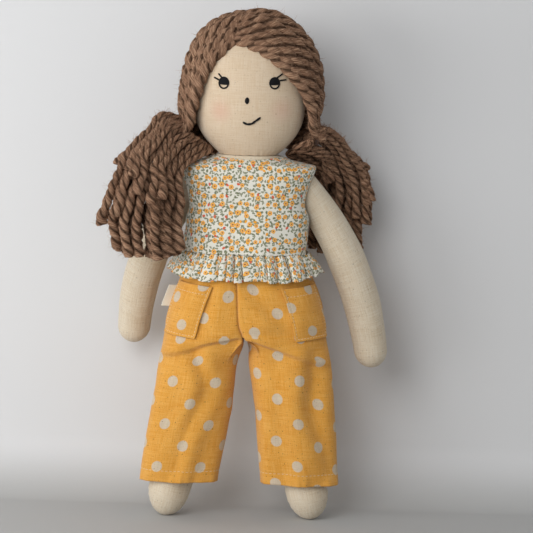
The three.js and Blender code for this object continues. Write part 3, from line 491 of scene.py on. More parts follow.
# Places of a scattered print: cells with a random point each. Local is the way from that point in
# millimetres, turned by a random angle, and Dice are two random numbers of the cell.
def makeScatter():
    graph, given, told = newGroup("scatteredPlaces", ["Vector", "Cell", "Looseness"],
                                  ["Local", "Dice", "Other Dice"])
    place = graph.move("SCALE", given["Vector"], graph.over(1.0, given["Cell"]))
    cells = graph.node("ShaderNodeTexVoronoi", {"voronoi_dimensions": "2D"}, Vector=place, Scale=1.0,
                       Randomness=given["Looseness"])
    away = graph.move("SUBTRACT", place, cells.outputs["Position"])
    hue = graph.node("ShaderNodeSeparateColor", {}, Color=cells.outputs["Color"])
    turn = graph.times(hue.outputs[0], 2 * math.pi)
    turned = graph.turned(graph.move("SCALE", away, given["Cell"]), turn)
    flat = graph.move("MULTIPLY", turned, (1.0, 1.0, 0.0))
    graph.feed(told["Local"], flat)
    graph.feed(told["Dice"], hue.outputs[1])
    graph.feed(told["Other Dice"], hue.outputs[2])
    return graph.tree


weaveTree = makeWeave()
speckTree = makeSpecks()
scatterTree = makeScatter()


# A fresh material with its shader and the given constant settings.
def newMaterial(name, **settings):
    material = bpy.data.materials.new(name)
    material.use_nodes = True
    graph = Graph(material.node_tree)
    shader = material.node_tree.nodes["Principled BSDF"]
    for label, value in settings.items():
        shader.inputs[label.replace("_", " ")].default_value = value
    return material, graph, shader


# The place on the cloth, in millimetres.
def clothPlace(graph):
    return graph.node("ShaderNodeUVMap", {"uv_map": "clothMap"}).outputs[0]


# The value that the mesh carries on its points under this label.
def pointValue(graph, label):
    return graph.node("ShaderNodeAttribute", {"attribute_name": label}).outputs["Fac"]


# Gives the shader its colour and its relief: each layer is a height with its depth in millimetres
# and its strength, and each lies on the one before.
def paint(graph, shader, base, *layers):
    graph.feed(shader.inputs["Base Color"], base)
    normal = None
    for height, distance, strength in layers:
        made = graph.node("ShaderNodeBump", {}, Height=height)
        made.inputs["Distance"].default_value = distance / 1000
        made.inputs["Strength"].default_value = strength
        if normal is not None:
            graph.feed(made.inputs["Normal"], normal)
        normal = made.outputs[0]
    if normal is not None:
        graph.feed(shader.inputs["Normal"], normal)


# Screen values of red, green and blue as the linear ones that a shader reads.
def colour(red, green, blue):
    channels = [c / 12.92 if c <= 0.04045 else ((c + 0.055) / 1.055) ** 2.4 for c in (red, green, blue)]
    return (*channels, 1.0)


# Husk specks in two sizes, each as (cell, size, share, strength), the larger ones from a far place.
def huskMask(graph, place, small, large, far):
    masks = []
    for (cell, size, share, strength), start in ((small, place), (large, graph.move("ADD", place, far))):
        mask = graph.group(speckTree, Vector=start, Cell=cell, Size=size, Share=share)["Mask"]
        masks.append(graph.times(mask, strength))
    return graph.larger(*masks)


calicoCloth = {
    "thread": 0.62, "cream": colour(0.86, 0.787, 0.672), "tan": colour(0.83, 0.747, 0.622),
    "pale": colour(0.91, 0.865, 0.785), "husk": colour(0.42, 0.33, 0.22),
    "small": (2.6, 0.42, 0.45, 0.4), "large": (7.0, 0.6, 0.4, 0.55), "far": (41.0, 17.0, 0.0),
    "warm": colour(0.86, 0.725, 0.585), "rose": colour(0.86, 0.60, 0.53),
}


# Calico: cream, mottled by slow noise, streaked along both threads, with husk specks. The blush is
# two soft round stains, each 1 - distance / radius, eased, at places on the face.
def calicoLook(name, blush=()):
    material, graph, shader = newMaterial(name, Roughness=0.92, Sheen_Weight=0.25, Sheen_Roughness=0.5,
                                          Specular_IOR_Level=0.2)
    cloth = calicoCloth
    place = clothPlace(graph)
    weave = graph.group(weaveTree, Vector=place, Thread=cloth["thread"])
    slow = graph.noise(place, 0.05, 3.0)
    base = graph.mix(graph.step(slow, 0.3, 0.7), cloth["cream"], cloth["tan"])
    base = graph.mix(graph.step(weave["Streak"], 0.36, 0.64), base, cloth["pale"])
    # Painted shade between the threads of the weave.
    base = graph.shaded(base, weave["Height"], 0.82, 0.22)
    specks = huskMask(graph, place, cloth["small"], cloth["large"], cloth["far"])
    base = graph.mix(specks, base, cloth["husk"])
    if blush:
        spot = graph.node("ShaderNodeTexCoord", {}).outputs["Object"]
        stain = 0.0
        for centre, radius, strength in blush:
            distance = graph.move("DISTANCE", spot, tuple(onFrame(centre)))
            near = graph.minus(1.0, graph.over(distance, radius / 1000))
            stain = graph.larger(stain, graph.times(graph.step(near, 0.0, 1.0), strength))
        base = graph.mix(0.35, base, cloth["warm"])
        grain = graph.plus(0.35, graph.times(weave["Streak"], 1.3))
        base = graph.mix(graph.times(stain, grain), base, cloth["rose"])
    fuzz = graph.noise(place, 2.4, 3.0)
    paint(graph, shader, base, (slow, 0.35, 0.35), (fuzz, 0.10, 0.4), (weave["Height"], 0.12, 0.7))
    return material


# A leaf's centre with its half length and half width, in millimetres.
floralPrint = {
    "thread": 0.36, "ground": colour(0.895, 0.88, 0.83), "pale": colour(0.925, 0.91, 0.865),
    "sprigs": [
        {"cell": 3.0, "from": (3.0, 8.0, 0.0), "green": colour(0.47, 0.49, 0.35), "share": 0.8},
        {"cell": 3.6, "from": (61.0, 25.0, 0.0), "green": colour(0.40, 0.43, 0.29), "share": 0.7},
    ],
    "leaves": [((0.0, 0.0), 0.9, 0.42), ((0.6, 0.6), 0.42, 0.62), ((-0.6, -0.55), 0.62, 0.4),
               ((-0.2, 0.85), 0.36, 0.5)],
    "budCell": 8.6, "budFrom": (19.0, 47.0, 0.0),
    "budLeaves": [((0.0, 0.0), 1.35, 0.95), ((0.7, 0.35), 0.75, 0.8)],
    "yellowBud": colour(0.97, 0.66, 0.10), "redBud": colour(0.86, 0.34, 0.18),
    "flowerCell": 7.4, "flowerRadius": 1.75, "petals": 5,
    "petal": colour(0.96, 0.72, 0.30), "deepPetal": colour(0.94, 0.61, 0.10),
    "halo": colour(0.96, 0.82, 0.56), "heart": colour(0.70, 0.36, 0.14),
}


# Ditsy print on white cotton: five-petalled flowers, buds, small red buds and sprigs of leaves.
# A leaf's edge lies where hypot(x / long, y / wide) is 1, and a flower's edge at its radius times
# (0.84 + 0.16 |cos(petals / 2 * angle)|).
def floralLook():
    material, graph, shader = newMaterial("floralCotton", Roughness=0.86, Sheen_Weight=0.2,
                                          Sheen_Roughness=0.5, Specular_IOR_Level=0.22)
    cloth = floralPrint
    place = clothPlace(graph)
    weave = graph.group(weaveTree, Vector=place, Thread=cloth["thread"])
    base = graph.mix(graph.step(weave["Streak"], 0.35, 0.65), cloth["ground"], cloth["pale"])

    def foliage(local, leaves):
        shape = None
        for centre, long, wide in leaves:
            away = graph.move("DIVIDE", graph.move("SUBTRACT", local, (*centre, 0.0)), (long, wide, 1.0))
            leaf = graph.step(graph.move("LENGTH", away), 1.1, 0.85)
            shape = leaf if shape is None else graph.larger(shape, leaf)
        return shape

    for sprig in cloth["sprigs"]:
        spread = graph.group(scatterTree, Vector=graph.move("ADD", place, sprig["from"]),
                             Cell=sprig["cell"], Looseness=0.9)
        shown = graph.below(spread["Dice"], sprig["share"])
        leaves = foliage(spread["Local"], cloth["leaves"])
        base = graph.mix(graph.times(leaves, graph.times(shown, 0.9)), base, sprig["green"])

    bud = graph.group(scatterTree, Vector=graph.move("ADD", place, cloth["budFrom"]),
                      Cell=cloth["budCell"], Looseness=0.75)
    budColour = graph.mix(graph.below(bud["Dice"], 0.38), cloth["yellowBud"], cloth["redBud"])
    budShown = graph.calc("GREATER_THAN", bud["Other Dice"], 0.2)
    budShape = foliage(bud["Local"], cloth["budLeaves"])
    base = graph.mix(graph.times(budShape, graph.times(budShown, 0.92)), base, budColour)

    flower = graph.group(scatterTree, Vector=place, Cell=cloth["flowerCell"], Looseness=0.62)
    split = graph.split(flower["Local"])
    angle = graph.calc("ARCTAN2", split[1], split[0])
    petals = graph.calc("ABSOLUTE", graph.calc("COSINE", graph.times(angle, cloth["petals"] / 2)))
    size = graph.plus(cloth["flowerRadius"], graph.times(flower["Other Dice"], 0.5))
    rim = graph.times(size, graph.plus(0.84, graph.times(petals, 0.16)))
    share = graph.over(graph.move("LENGTH", flower["Local"]), rim)
    body = graph.times(graph.step(share, 1.06, 0.94), graph.below(flower["Dice"], 0.86))
    blotch = graph.noise(place, 1.3, 1.0)
    petal = graph.mix(graph.step(blotch, 0.4, 0.6), cloth["petal"], cloth["deepPetal"])
    petal = graph.mix(graph.step(share, 0.60, 0.46), petal, cloth["halo"])
    petal = graph.mix(graph.step(share, 0.44, 0.28), petal, cloth["heart"])
    base = graph.mix(body, base, petal)
    # Painted shade between the threads of the weave.
    base = graph.shaded(base, weave["Height"], 0.92, 0.1)
    soft = graph.noise(place, 0.25, 2.0)
    paint(graph, shader, base, (soft, 0.4, 0.3), (weave["Height"], 0.07, 0.6))
    return material


dottedCloth = {
    "thread": 0.66, "dotStep": (37.4, 36.0), "dotRadius": 4.6,
    "amber": colour(0.90, 0.635, 0.245), "deep": colour(0.875, 0.60, 0.21),
    "slub": colour(0.935, 0.705, 0.36), "mottle": colour(0.80, 0.53, 0.17),
    "dot": colour(0.80, 0.735, 0.64), "dotPale": colour(0.86, 0.80, 0.71),
    "fleck": colour(0.42, 0.27, 0.10), "small": (2.0, 0.33, 0.45, 0.5),
    "large": (5.5, 0.5, 0.45, 0.8), "far": (13.0, 71.0, 0.0),
}


# Amber cotton with linen slubs, brown flecks and beige dots. The dots lie on a square lattice with
# one more dot in the middle of each square: the distance to the nearest lattice point is measured
# in both sets and the smaller one counts.
def dottedLook(name, dotStart, turn=0.0):
    material, graph, shader = newMaterial(name, Roughness=0.9, Sheen_Weight=0.22, Sheen_Roughness=0.5,
                                          Specular_IOR_Level=0.2)
    cloth, step = dottedCloth, dottedCloth["dotStep"]
    place = clothPlace(graph)
    weave = graph.group(weaveTree, Vector=place, Thread=cloth["thread"])
    slow = graph.noise(place, 0.06, 2.0)
    base = graph.mix(graph.step(slow, 0.3, 0.7), cloth["amber"], cloth["deep"])
    base = graph.mix(graph.step(weave["Streak"], 0.42, 0.62), base, cloth["slub"])
    mottle = graph.noise(place, 1.1, 3.0, 0.7)
    base = graph.mix(graph.times(graph.step(mottle, 0.5, 0.7), 0.35), base, cloth["mottle"])
    moved = graph.move("SUBTRACT", place, (*dotStart, 0.0))
    turned = graph.turned(moved, math.radians(turn))
    lattice = graph.move("MULTIPLY", turned, (1 / step[0], 1 / step[1], 0.0))
    ragged = graph.times(graph.minus(graph.noise(place, 1.6, 2.0), 0.5), 0.9)
    middle = (0.5, 0.5, 0.0)
    nearest = None
    for half in (0.0, 0.5):
        spot = graph.move("ADD", lattice, (half, half, 0.0))
        within = graph.move("FRACTION", graph.move("ADD", spot, middle))
        apart = graph.move("MULTIPLY", graph.move("SUBTRACT", within, middle), (*step, 0.0))
        distance = graph.move("LENGTH", apart)
        nearest = distance if nearest is None else graph.calc("MINIMUM", nearest, distance)
    radius = cloth["dotRadius"]
    dot = graph.step(graph.plus(nearest, ragged), radius + 0.25, radius - 0.25)
    dotColour = graph.mix(graph.step(weave["Streak"], 0.38, 0.64), cloth["dot"], cloth["dotPale"])
    base = graph.mix(graph.times(dot, 0.95), base, dotColour)
    # Painted shade between the threads of the weave.
    base = graph.shaded(base, weave["Height"], 0.84, 0.2)
    specks = huskMask(graph, place, cloth["small"], cloth["large"], cloth["far"])
    base = graph.mix(specks, base, cloth["fleck"])
    fuzz = graph.noise(place, 2.2, 3.0)
    paint(graph, shader, base, (slow, 0.4, 0.3), (fuzz, 0.12, 0.4), (weave["Height"], 0.14, 0.7))
    return material


# Each layer of the yarn: which noise, where it begins and is full, how much, and the colour.
yarnWool = {
    "dark": colour(0.49, 0.36, 0.28), "light": colour(0.62, 0.475, 0.38),
    "sheen": colour(0.74, 0.60, 0.50), "fuzz": colour(0.68, 0.56, 0.47),
    # The groove colour is the painted shade between the plies.
    "slant": 24, "groove": colour(0.18, 0.12, 0.085),
    "layers": [("clumps", 0.48, 0.66, 0.85, colour(0.76, 0.615, 0.50)),
               ("clumps", 0.5, 0.34, 0.7, colour(0.36, 0.26, 0.195)),
               ("fibres", 0.52, 0.32, 0.8, colour(0.29, 0.20, 0.15)),
               ("fibres", 0.52, 0.68, 0.8, colour(0.80, 0.665, 0.55))],
}


# Wool yarn: brown, each strand a little lighter or darker, with fine fibres that run along the
# ply at a slant. Their height is noise stretched about six times along them. The colour darkens with
# the "groove" value, which grows from the outside of a ply to where it touches its neighbour: a
# painted shade in the grooves between the plies.
def yarnLook(name="yarn", fuzz=False):
    material, graph, shader = newMaterial(name, Roughness=0.95, Sheen_Weight=0.22, Sheen_Roughness=0.4,
                                          Specular_IOR_Level=0.1)
    wool = yarnWool
    shader.inputs["Sheen Tint"].default_value = wool["sheen"]
    base = graph.mix(pointValue(graph, "tone"), wool["dark"], wool["light"])
    if fuzz:
        paint(graph, shader, graph.mix(0.5, base, wool["fuzz"]))
        return material
    slant = graph.turned(clothPlace(graph), math.radians(wool["slant"]))
    fibres = graph.noise(graph.move("MULTIPLY", slant, (0.32, 1.8, 1.0)), 1.0, 4.0, 0.65)
    clumps = graph.noise(graph.move("MULTIPLY", slant, (0.10, 0.7, 1.0)), 1.0, 2.0)
    noises = {"fibres": fibres, "clumps": clumps}
    for which, begin, full, strength, tint in wool["layers"]:
        base = graph.mix(graph.times(graph.step(noises[which], begin, full), strength), base, tint)
    # Painted shade towards where a ply touches its neighbour.
    groove = graph.step(pointValue(graph, "groove"), 0.2, 0.8)
    base = graph.mix(graph.times(groove, 0.72), base, wool["groove"])
    paint(graph, shader, base, (clumps, 0.9, 0.6), (fibres, 0.8, 0.85))
    return material


# Embroidery floss: near black with a soft gleam, twisted, so fine ridges slant across it. Its colour
# is painted lighter on the ridges and darker between them, a painted highlight and shade that noise
# makes uneven.
def flossLook(name, dark, light, twist=1.1):
    material, graph, shader = newMaterial(name, Roughness=0.65, Sheen_Weight=0.08, Specular_IOR_Level=0.2)
    place = clothPlace(graph)
    slant = graph.turned(place, math.radians(35))
    ridge = graph.ridges(graph.split(slant)[0], math.pi / twist * 3)
    ridgeNoise = graph.noise(place, 3.0, 2.0)
    # Painted highlight on the ridges and painted shade between them.
    base = graph.mix(graph.times(ridge, graph.plus(0.4, ridgeNoise)), dark, light)
    paint(graph, shader, base, (ridge, 0.08, 0.8))
    return material


# Ribbed webbing: ridges along it, |sin| of the place across, with a fine cross weave. Its colour
# goes from the second, darker one between the ridges to the first on them: painted shade between
# the ribs and a painted highlight on them.
def webbingLook(name, first, second, rib):
    material, graph, shader = newMaterial(name, Roughness=0.8, Sheen_Weight=0.2, Specular_IOR_Level=0.25)
    place = clothPlace(graph)
    split = graph.split(place)
    ridge = graph.ridges(split[1], math.pi / rib)
    cross = graph.ridges(split[0], math.pi / (rib * 0.7))
    # Painted shade between the ribs, lighter on their tops.
    base = graph.mix(graph.times(ridge, graph.noise(place, 0.8, 3.0)), second, first)
    paint(graph, shader, base, (cross, 0.08, 0.5), (ridge, 0.15, 0.8))
    return material


# Moulded button: cream resin with faint clouds that scatter light under a soft gloss.
def buttonLook():
    material, graph, shader = newMaterial("buttonResin", Roughness=0.3, Coat_Weight=0.4, Coat_Roughness=0.2,
                                          Subsurface_Weight=0.15, Subsurface_Scale=0.0008)
    spot = graph.node("ShaderNodeTexCoord", {}).outputs["Object"]
    clouds = graph.noise(spot, 260.0, 4.0, 0.6)
    base = graph.mix(graph.step(clouds, 0.35, 0.7), colour(0.93, 0.89, 0.80), colour(0.86, 0.80, 0.68))
    scratches = graph.noise(graph.move("MULTIPLY", spot, (400.0, 1.0, 3000.0)), 1.0, 2.0)
    paint(graph, shader, base, (scratches, 0.02, 0.3))
    return material


# Plaster of the wall and floor, darker towards the floor over the lowest 45 mm, and see-through from behind.
def stageLook(name, shade):
    material, graph, shader = newMaterial(name, Roughness=0.85, Specular_IOR_Level=0.2)
    spot = graph.node("ShaderNodeTexCoord", {}).outputs["Object"]
    base = graph.mix(graph.noise(spot, 3.0, 2.0), colour(shade, shade, shade),
                     colour(shade - 0.015, shade - 0.012, shade - 0.005))
    base = graph.mix(graph.step(graph.split(spot)[2], 0.045, 0.0), base, colour(0.735, 0.735, 0.73))
    paint(graph, shader, base)
    behind = graph.node("ShaderNodeNewGeometry", {}).outputs["Backfacing"]
    seeThrough = graph.node("ShaderNodeBsdfTransparent", {}).outputs[0]
    both = graph.node("ShaderNodeMixShader", {})
    graph.feed(both.inputs[0], behind)
    graph.feed(both.inputs[1], shader.outputs[0])
    graph.feed(both.inputs[2], seeThrough)
    graph.feed(graph.tree.nodes["Material Output"].inputs["Surface"], both.outputs[0])
    return material


calico = calicoLook("calico")
faceCalico = calicoLook("faceCalico", blush=[((-23, -32, 339), 14, 0.32), ((26, -31, 341), 15, 0.24)])
floral = floralLook()
yarn = yarnLook()
yarnFuzz = yarnLook("yarnFuzz", fuzz=True)
blackFloss = flossLook("blackFloss", colour(0.012, 0.012, 0.025), colour(0.05, 0.05, 0.07))
paleThread = flossLook("paleThread", colour(0.86, 0.76, 0.58), colour(0.96, 0.89, 0.74), 0.7)
whiteThread = flossLook("whiteThread", colour(0.84, 0.82, 0.76), colour(0.95, 0.93, 0.88), 0.7)


# Stuffed calico forms
shoulderX, shoulderZ = 46.0, 277.0
hipX, hipZ = 27.0, 150.0
neckHeight = 302.5
headBase = neckHeight + 0.3
headHeight = 105.5
hemZ = 31.0

head = {
    "power": 2.15,
    "profile": [(0.0, 23.5, 22.3), (0.05, 29.5, 26.4), (0.145, 38.2, 32.2), (0.26, 43.8, 36.6),
                (0.385, 46.0, 38.9), (0.51, 46.0, 39.5), (0.65, 44.6, 38.7), (0.785, 39.8, 35.0),
                (0.895, 30.7, 27.3), (0.97, 17.3, 15.8)],
    "rows": 110, "columns": 144, "pucker": 0.55, "puckers": 26, "puckerFade": 4.5,
    "lump": 0.35, "lumpLength": 60, "seam": 0.5, "seamWide": 0.9, "filled": 0.95,
}
torso = {
    "power": 2.3,
    "profile": [(302.5, 26, 22.5), (294.6, 31, 24.5), (285, 41, 27), (271.9, 45, 30), (250, 45, 31),
                (222, 46.5, 31.5), (196, 46.5, 31.5), (181.3, 44, 30), (173.3, 38.5, 25.5),
                (168.6, 30.5, 18.5)],
    "rows": 70, "columns": 96, "armRoom": 0.9, "filled": 0.95,
}
limbs = {
    "rows": 90, "columns": 64, "seam": 0.55, "seamWide": 1.0, "pucker": 0.25, "puckerPace": 1.35,
    "puckerWide": 5.0, "lump": 0.35, "lumpLength": 38, "filled": 0.9,
}
arm = {
    "length": {"left": 159.0, "right": 163.5}, "bow": 12.5, "root": 13.0, "hand": 13.6, "cap": 14.6,
    "swell": [(0.2, 14.4), (0.38, 15.6), (0.58, 15.6), (0.78, 14.8)],
    "seamTurn": 32.0, "splay": {"left": 18.8, "right": 22.6}, "back": {"left": 22.0, "right": 6.0},
}
leg = {
    "length": 154.2, "bow": 0.0, "root": 17.9, "hand": 17.5, "cap": 25.0,
    "swell": [(0.25, 17.9), (0.5, 17.5), (0.72, 17.3)],
    "footX": 58.5,
}
sides = {"left": -1, "right": 1}


# Half width and half depth of the head at given heights.
def headSize(heights):
    shares = [row[0] for row in head["profile"]] + [0.995]
    sizes = [row[1:] for row in head["profile"]] + [(6.5, 6.0)]
    return smoothly(shares, sizes, (np.asarray(heights, float) - headBase) / headHeight)


# The front of the head at a point seen from ahead, moved out by a lift.
def onFace(x, z, lift):
    x, z = np.asarray(x, float), np.asarray(z, float)
    size = headSize(z)
    share = np.minimum(np.abs(x) / size[..., 0], 0.999)
    y = -size[..., 1] * (1 - share ** head["power"]) ** (1 / head["power"])
    spot = np.stack([x, y, z], -1)
    away = unit(spot / np.array([1.0, 0.8, 1.0]) - np.array([0.0, 0.0, 352.0]))
    return spot + np.asarray(lift)[..., None] * away


# A stuffed form from its closed grid: one padded piece stands for the skin and its stuffing.
def stuffedForm(name, grid, material, body):
    cloth = clothMapOf(grid, True, grid.shape[1] // 2)
    piece = gridPiece(name, grid, cloth, closed=True, poles=True)
    dress(piece, material)
    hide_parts(f"{name}_skin", f"{name}_stuffing")
    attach(piece, body)


# The head is an oval of the profile's widths and depths, gathered at the neck: a ripple that fades
# upwards as exp(-height / fade). The side seams are drawn in by a bell of the place Y.
def makeHead():
    share = (1 - np.cos(np.linspace(0, math.pi, head["rows"]))) / 2 * 0.985
    heights = headBase + share * headHeight
    size = headSize(heights)
    turns = np.arange(head["columns"]) / head["columns"]
    grid = roundedRings(heights, size[:, 0], size[:, 1], np.full(len(heights), head["power"]), turns)
    normals = gridNormals(grid, True)
    above = grid[..., 2] - headBase
    ripple = np.sin(2 * math.pi * turns * head["puckers"] + 2.5 * np.sin(5 * turns * 2 * math.pi))
    neck = -head["pucker"] * np.exp(-above / head["puckerFade"]) * (0.5 + 0.5 * ripple)
    lumps = head["lump"] * waves(grid, head["lumpLength"], 3) * smoothStep(above, 0, 20)
    seam = -head["seam"] * bell(grid[..., 1], head["seamWide"]) * smoothStep(above, 2, 12)
    grid = grid + (neck + lumps + seam)[..., None] * normals
    stuffedForm("head", grid, faceCalico, "torso")


# Centre line and radius of a limb that hangs down -Z from a round root and bows sideways.
def limbLine(limb, side, count):
    radii = [(share * limb["length"], radius) for share, radius in limb["swell"]]
    base = limb["length"] - limb["cap"]
    stops = [(0.0, limb["root"])] + radii + [(base, limb["hand"])]
    angles = np.linspace(0.06, math.pi / 2, 14)
    rootReach, rootRadius = -limb["root"] * np.cos(angles), limb["root"] * np.sin(angles)
    tipReach, tipRadius = base + limb["cap"] * np.cos(angles[::-1]), limb["hand"] * np.sin(angles[::-1])
    middle = np.linspace(0, base, count)[1:-1]
    reach = np.concatenate([rootReach, middle, tipReach])
    places, values = zip(*stops)
    radius = np.concatenate([rootRadius, smoothly(places, values, middle), tipRadius])
    share = reach / limb["length"]
    bow = side * 4 * limb["bow"] * np.where(share < 0, share, share * (1 - share))
    slope = side * 4 * limb["bow"] * np.where(share < 0, 1.0, 1 - 2 * share) / limb["length"]
    return np.stack([bow, np.zeros_like(bow), -reach], -1), radius, slope


# Points turned about X by the angle back and then about Y by the angle splay, in degrees.
def turned(points, splay, back):
    return points @ (turnAbout(1, splay) @ turnAbout(0, back)).T


# The settings of one arm, with its own length.
def armOf(word):
    return {**arm, "length": arm["length"][word]}


# A stuffed limb: a tube of calico with a seam down its inner and its outer side, where the cloth
# is drawn in by a bell of the distance and puckers a little along the limb.
def limbGrid(limb, side, seed, seamTurn=0.0):
    centre, radius, slope = limbLine(limb, side, limbs["rows"])
    across = unit(np.stack([np.ones_like(slope), np.zeros_like(slope), slope], -1))
    turn = 2 * math.pi * np.arange(limbs["columns"]) / limbs["columns"] + math.pi / 2
    ahead = np.array([0.0, 1.0, 0.0])
    spread = np.cos(turn)[None, :, None] * across[:, None] + np.sin(turn)[None, :, None] * ahead
    fromSeams = [np.abs(np.angle(np.exp(1j * (turn - seamTurn - half)))) for half in (0.0, math.pi)]
    distance = np.minimum(*fromSeams)[None] * radius[:, None]
    reach = np.cumsum(np.linalg.norm(np.gradient(centre, axis=0), axis=-1))[:, None]
    pucker = limbs["pucker"] * np.sin(reach * limbs["puckerPace"])
    seam = bell(distance, limbs["seamWide"])
    around = bell(distance, limbs["puckerWide"]) * pucker
    full = np.clip(radius / limb["hand"], 0, 1)[:, None]
    grid = centre[:, None] + radius[:, None, None] * spread
    lumps = limbs["lump"] * waves(grid, limbs["lumpLength"], seed)
    return grid + (full * (lumps - limbs["seam"] * seam + around))[..., None] * spread


# An arm hangs from its shoulder, splayed sideways and turned back.
def makeArm(word):
    side = sides[word]
    grid = limbGrid(armOf(word), side, 20 + side, side * math.radians(arm["seamTurn"]))
    grid = turned(grid, -side * arm["splay"][word], arm["back"][word])
    grid = grid + [side * shoulderX, 0, shoulderZ]
    stuffedForm(f"arm_{word}", grid, calico, f"arm_{word}")


# A leg stands splayed, and its sole is pressed flat on the floor and spreads front to back there.
def makeLeg(word):
    side = sides[word]
    splay = math.degrees(math.atan2(leg["footX"] - hipX, hipZ - leg["hand"] + 0.5))
    grid = turned(limbGrid(leg, side, 30 + side), -side * splay, 0.0) + [side * hipX, 0, hipZ]
    low = np.minimum(grid[..., 2] - 1.5, 0)
    grid[..., 2] = np.maximum(grid[..., 2], 0.0)
    grid[..., 1] *= 1 - 0.02 * low
    stuffedForm(f"leg_{word}", grid, calico, f"leg_{word}")


# The torso is drawn in at each shoulder, so that the round arm roots and the arms stay clear.
def makeTorso():
    stops = np.arange(len(torso["profile"]))
    places = np.linspace(0, len(stops) - 1, torso["rows"])
    rows = smoothly(stops, torso["profile"], places)
    turns = np.arange(torso["columns"]) / torso["columns"]
    grid = roundedRings(rows[:, 0], rows[:, 1], rows[:, 2], np.full(len(rows), torso["power"]), turns)
    for word, side in sides.items():
        centre, radius, slope = limbLine(armOf(word), side, 60)
        line = turned(centre, -side * arm["splay"][word], arm["back"][word])
        line = line + [side * shoulderX, 0, shoulderZ]
        for spot, room in list(zip(line, radius + torso["armRoom"]))[::2]:
            flat = room ** 2 - (grid[..., 1] - spot[1]) ** 2 - (grid[..., 2] - spot[2]) ** 2
            limit = side * spot[0] - np.sqrt(np.maximum(flat, 0))
            over = (flat > 0) & (side * grid[..., 0] > limit)
            grid[..., 0] = np.where(over, side * limit, grid[..., 0])
    stuffedForm("torso", grid, calico, "torso")


print("stuffed forms")
makeHead()
makeTorso()
for word in sides:
    makeArm(word)
    makeLeg(word)


# Embroidered face
face = {
    "eyes": {"left": (-20.9, 361.6), "right": (19.7, 362.5)}, "eyeWide": 3.85, "eyeHigh": 4.5,
    "lashes": {"left": [((-1.6, 4.0), (-4.6, 7.4)), ((-3.6, 2.0), (-8.1, 4.2))],
               "right": [((1.2, 4.0), (6.3, 7.8)), ((4.0, 2.2), (9.4, 3.0))]},
    "nose": (-1.9, 348.0), "noseWide": 1.45, "noseHigh": 2.1,
    "mouth": [((-4.7, 330.7), (-1.1, 328.9)), ((-1.5, 329.0), (2.5, 329.7)), ((2.0, 329.4), (5.8, 332.4)),
              ((5.4, 332.0), (9.1, 334.9))],
    "thread": 0.68, "mouthThread": 0.952, "pointsPerStitch": 7,
}


# Stitches between pairs of points seen from ahead, laid over the face with a low arch.
def faceStitches(starts, ends, lift):
    share = np.linspace(0, 1, face["pointsPerStitch"])[None, :, None]
    flat = np.asarray(starts)[:, None] * (1 - share) + np.asarray(ends)[:, None] * share
    arch = lift * np.sqrt(np.clip(4 * share[..., 0] * (1 - share[..., 0]), 0, 1)) + 0.1
    return onFace(flat[..., 0], flat[..., 1], np.broadcast_to(arch, flat.shape[:2]))


# A line of split stitches: short overlapping stitches along points seen from ahead.
def splitStitches(points, stitch, lift):
    points = np.asarray(points, float)
    reach = lengthAlong(points, 0)
    places = np.arange(0, reach[-1] - stitch * 0.4, stitch * 0.62)
    ends = np.minimum(places + stitch, reach[-1])
    return faceStitches(pointsAt(places, reach, points), pointsAt(ends, reach, points), lift)


# Satin stitch: parallel threads that fill an oval from one height up.
def satin(centre, wide, high, fromShare, spacing, slant):
    rows = np.arange(fromShare * high, high, spacing)
    half = wide * np.sqrt(np.clip(1 - (rows / high) ** 2, 0, 1)) + 0.15
    jitter = random.uniform(-0.12, 0.12, (2, len(rows)))
    starts = np.stack([centre[0] - half + jitter[0], centre[1] + rows - slant * half], -1)
    ends = np.stack([centre[0] + half + jitter[1], centre[1] + rows + slant * half], -1)
    return faceStitches(starts, ends, 0.55)


# Points of an upright oval between two angles in degrees.
def ringPoints(centre, wide, high, start, end):
    angle = np.radians(np.linspace(start, end, 40))
    return np.stack([centre[0] + wide * np.cos(angle), centre[1] + high * np.sin(angle)], -1)


# One piece of black floss from groups of stitches.
def threadedPiece(name, groups, node, radius):
    paths = np.concatenate(groups)
    tones = random.uniform(0, 1, len(paths))
    piece = dress(threadPiece(name, paths, radius, 8, tones, 0.55), blackFloss)
    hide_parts(node)
    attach(piece, "torso")


# Each eye is a filled oval with an outline and two lashes, and the nose is a smaller filled oval.
def makeFace():
    for word, side in sides.items():
        centre = face["eyes"][word]
        fill = satin(centre, face["eyeWide"], face["eyeHigh"], -0.2, 0.52, 0.05 * side)
        outline = splitStitches(ringPoints(centre, face["eyeWide"], face["eyeHigh"], -195, 165), 2.2, 0.4)
        lashes = [splitStitches(np.array(lash) + centre, 3.4, 0.45) for lash in face["lashes"][word]]
        threadedPiece(f"eye_{word}_stitches", [fill, outline, *lashes], f"eye_{word}", face["thread"])
    nose = satin(face["nose"], face["noseWide"], face["noseHigh"], -0.95, 0.5, 0.1)
    threadedPiece("nose_stitches", [nose], "nose_stitch", face["thread"])
    mouth = faceStitches(*np.swapaxes(face["mouth"], 0, 1), 0.5)
    threadedPiece("mouth_stitches", [mouth], "mouth_stitch", face["mouthThread"])


print("face")
makeFace()


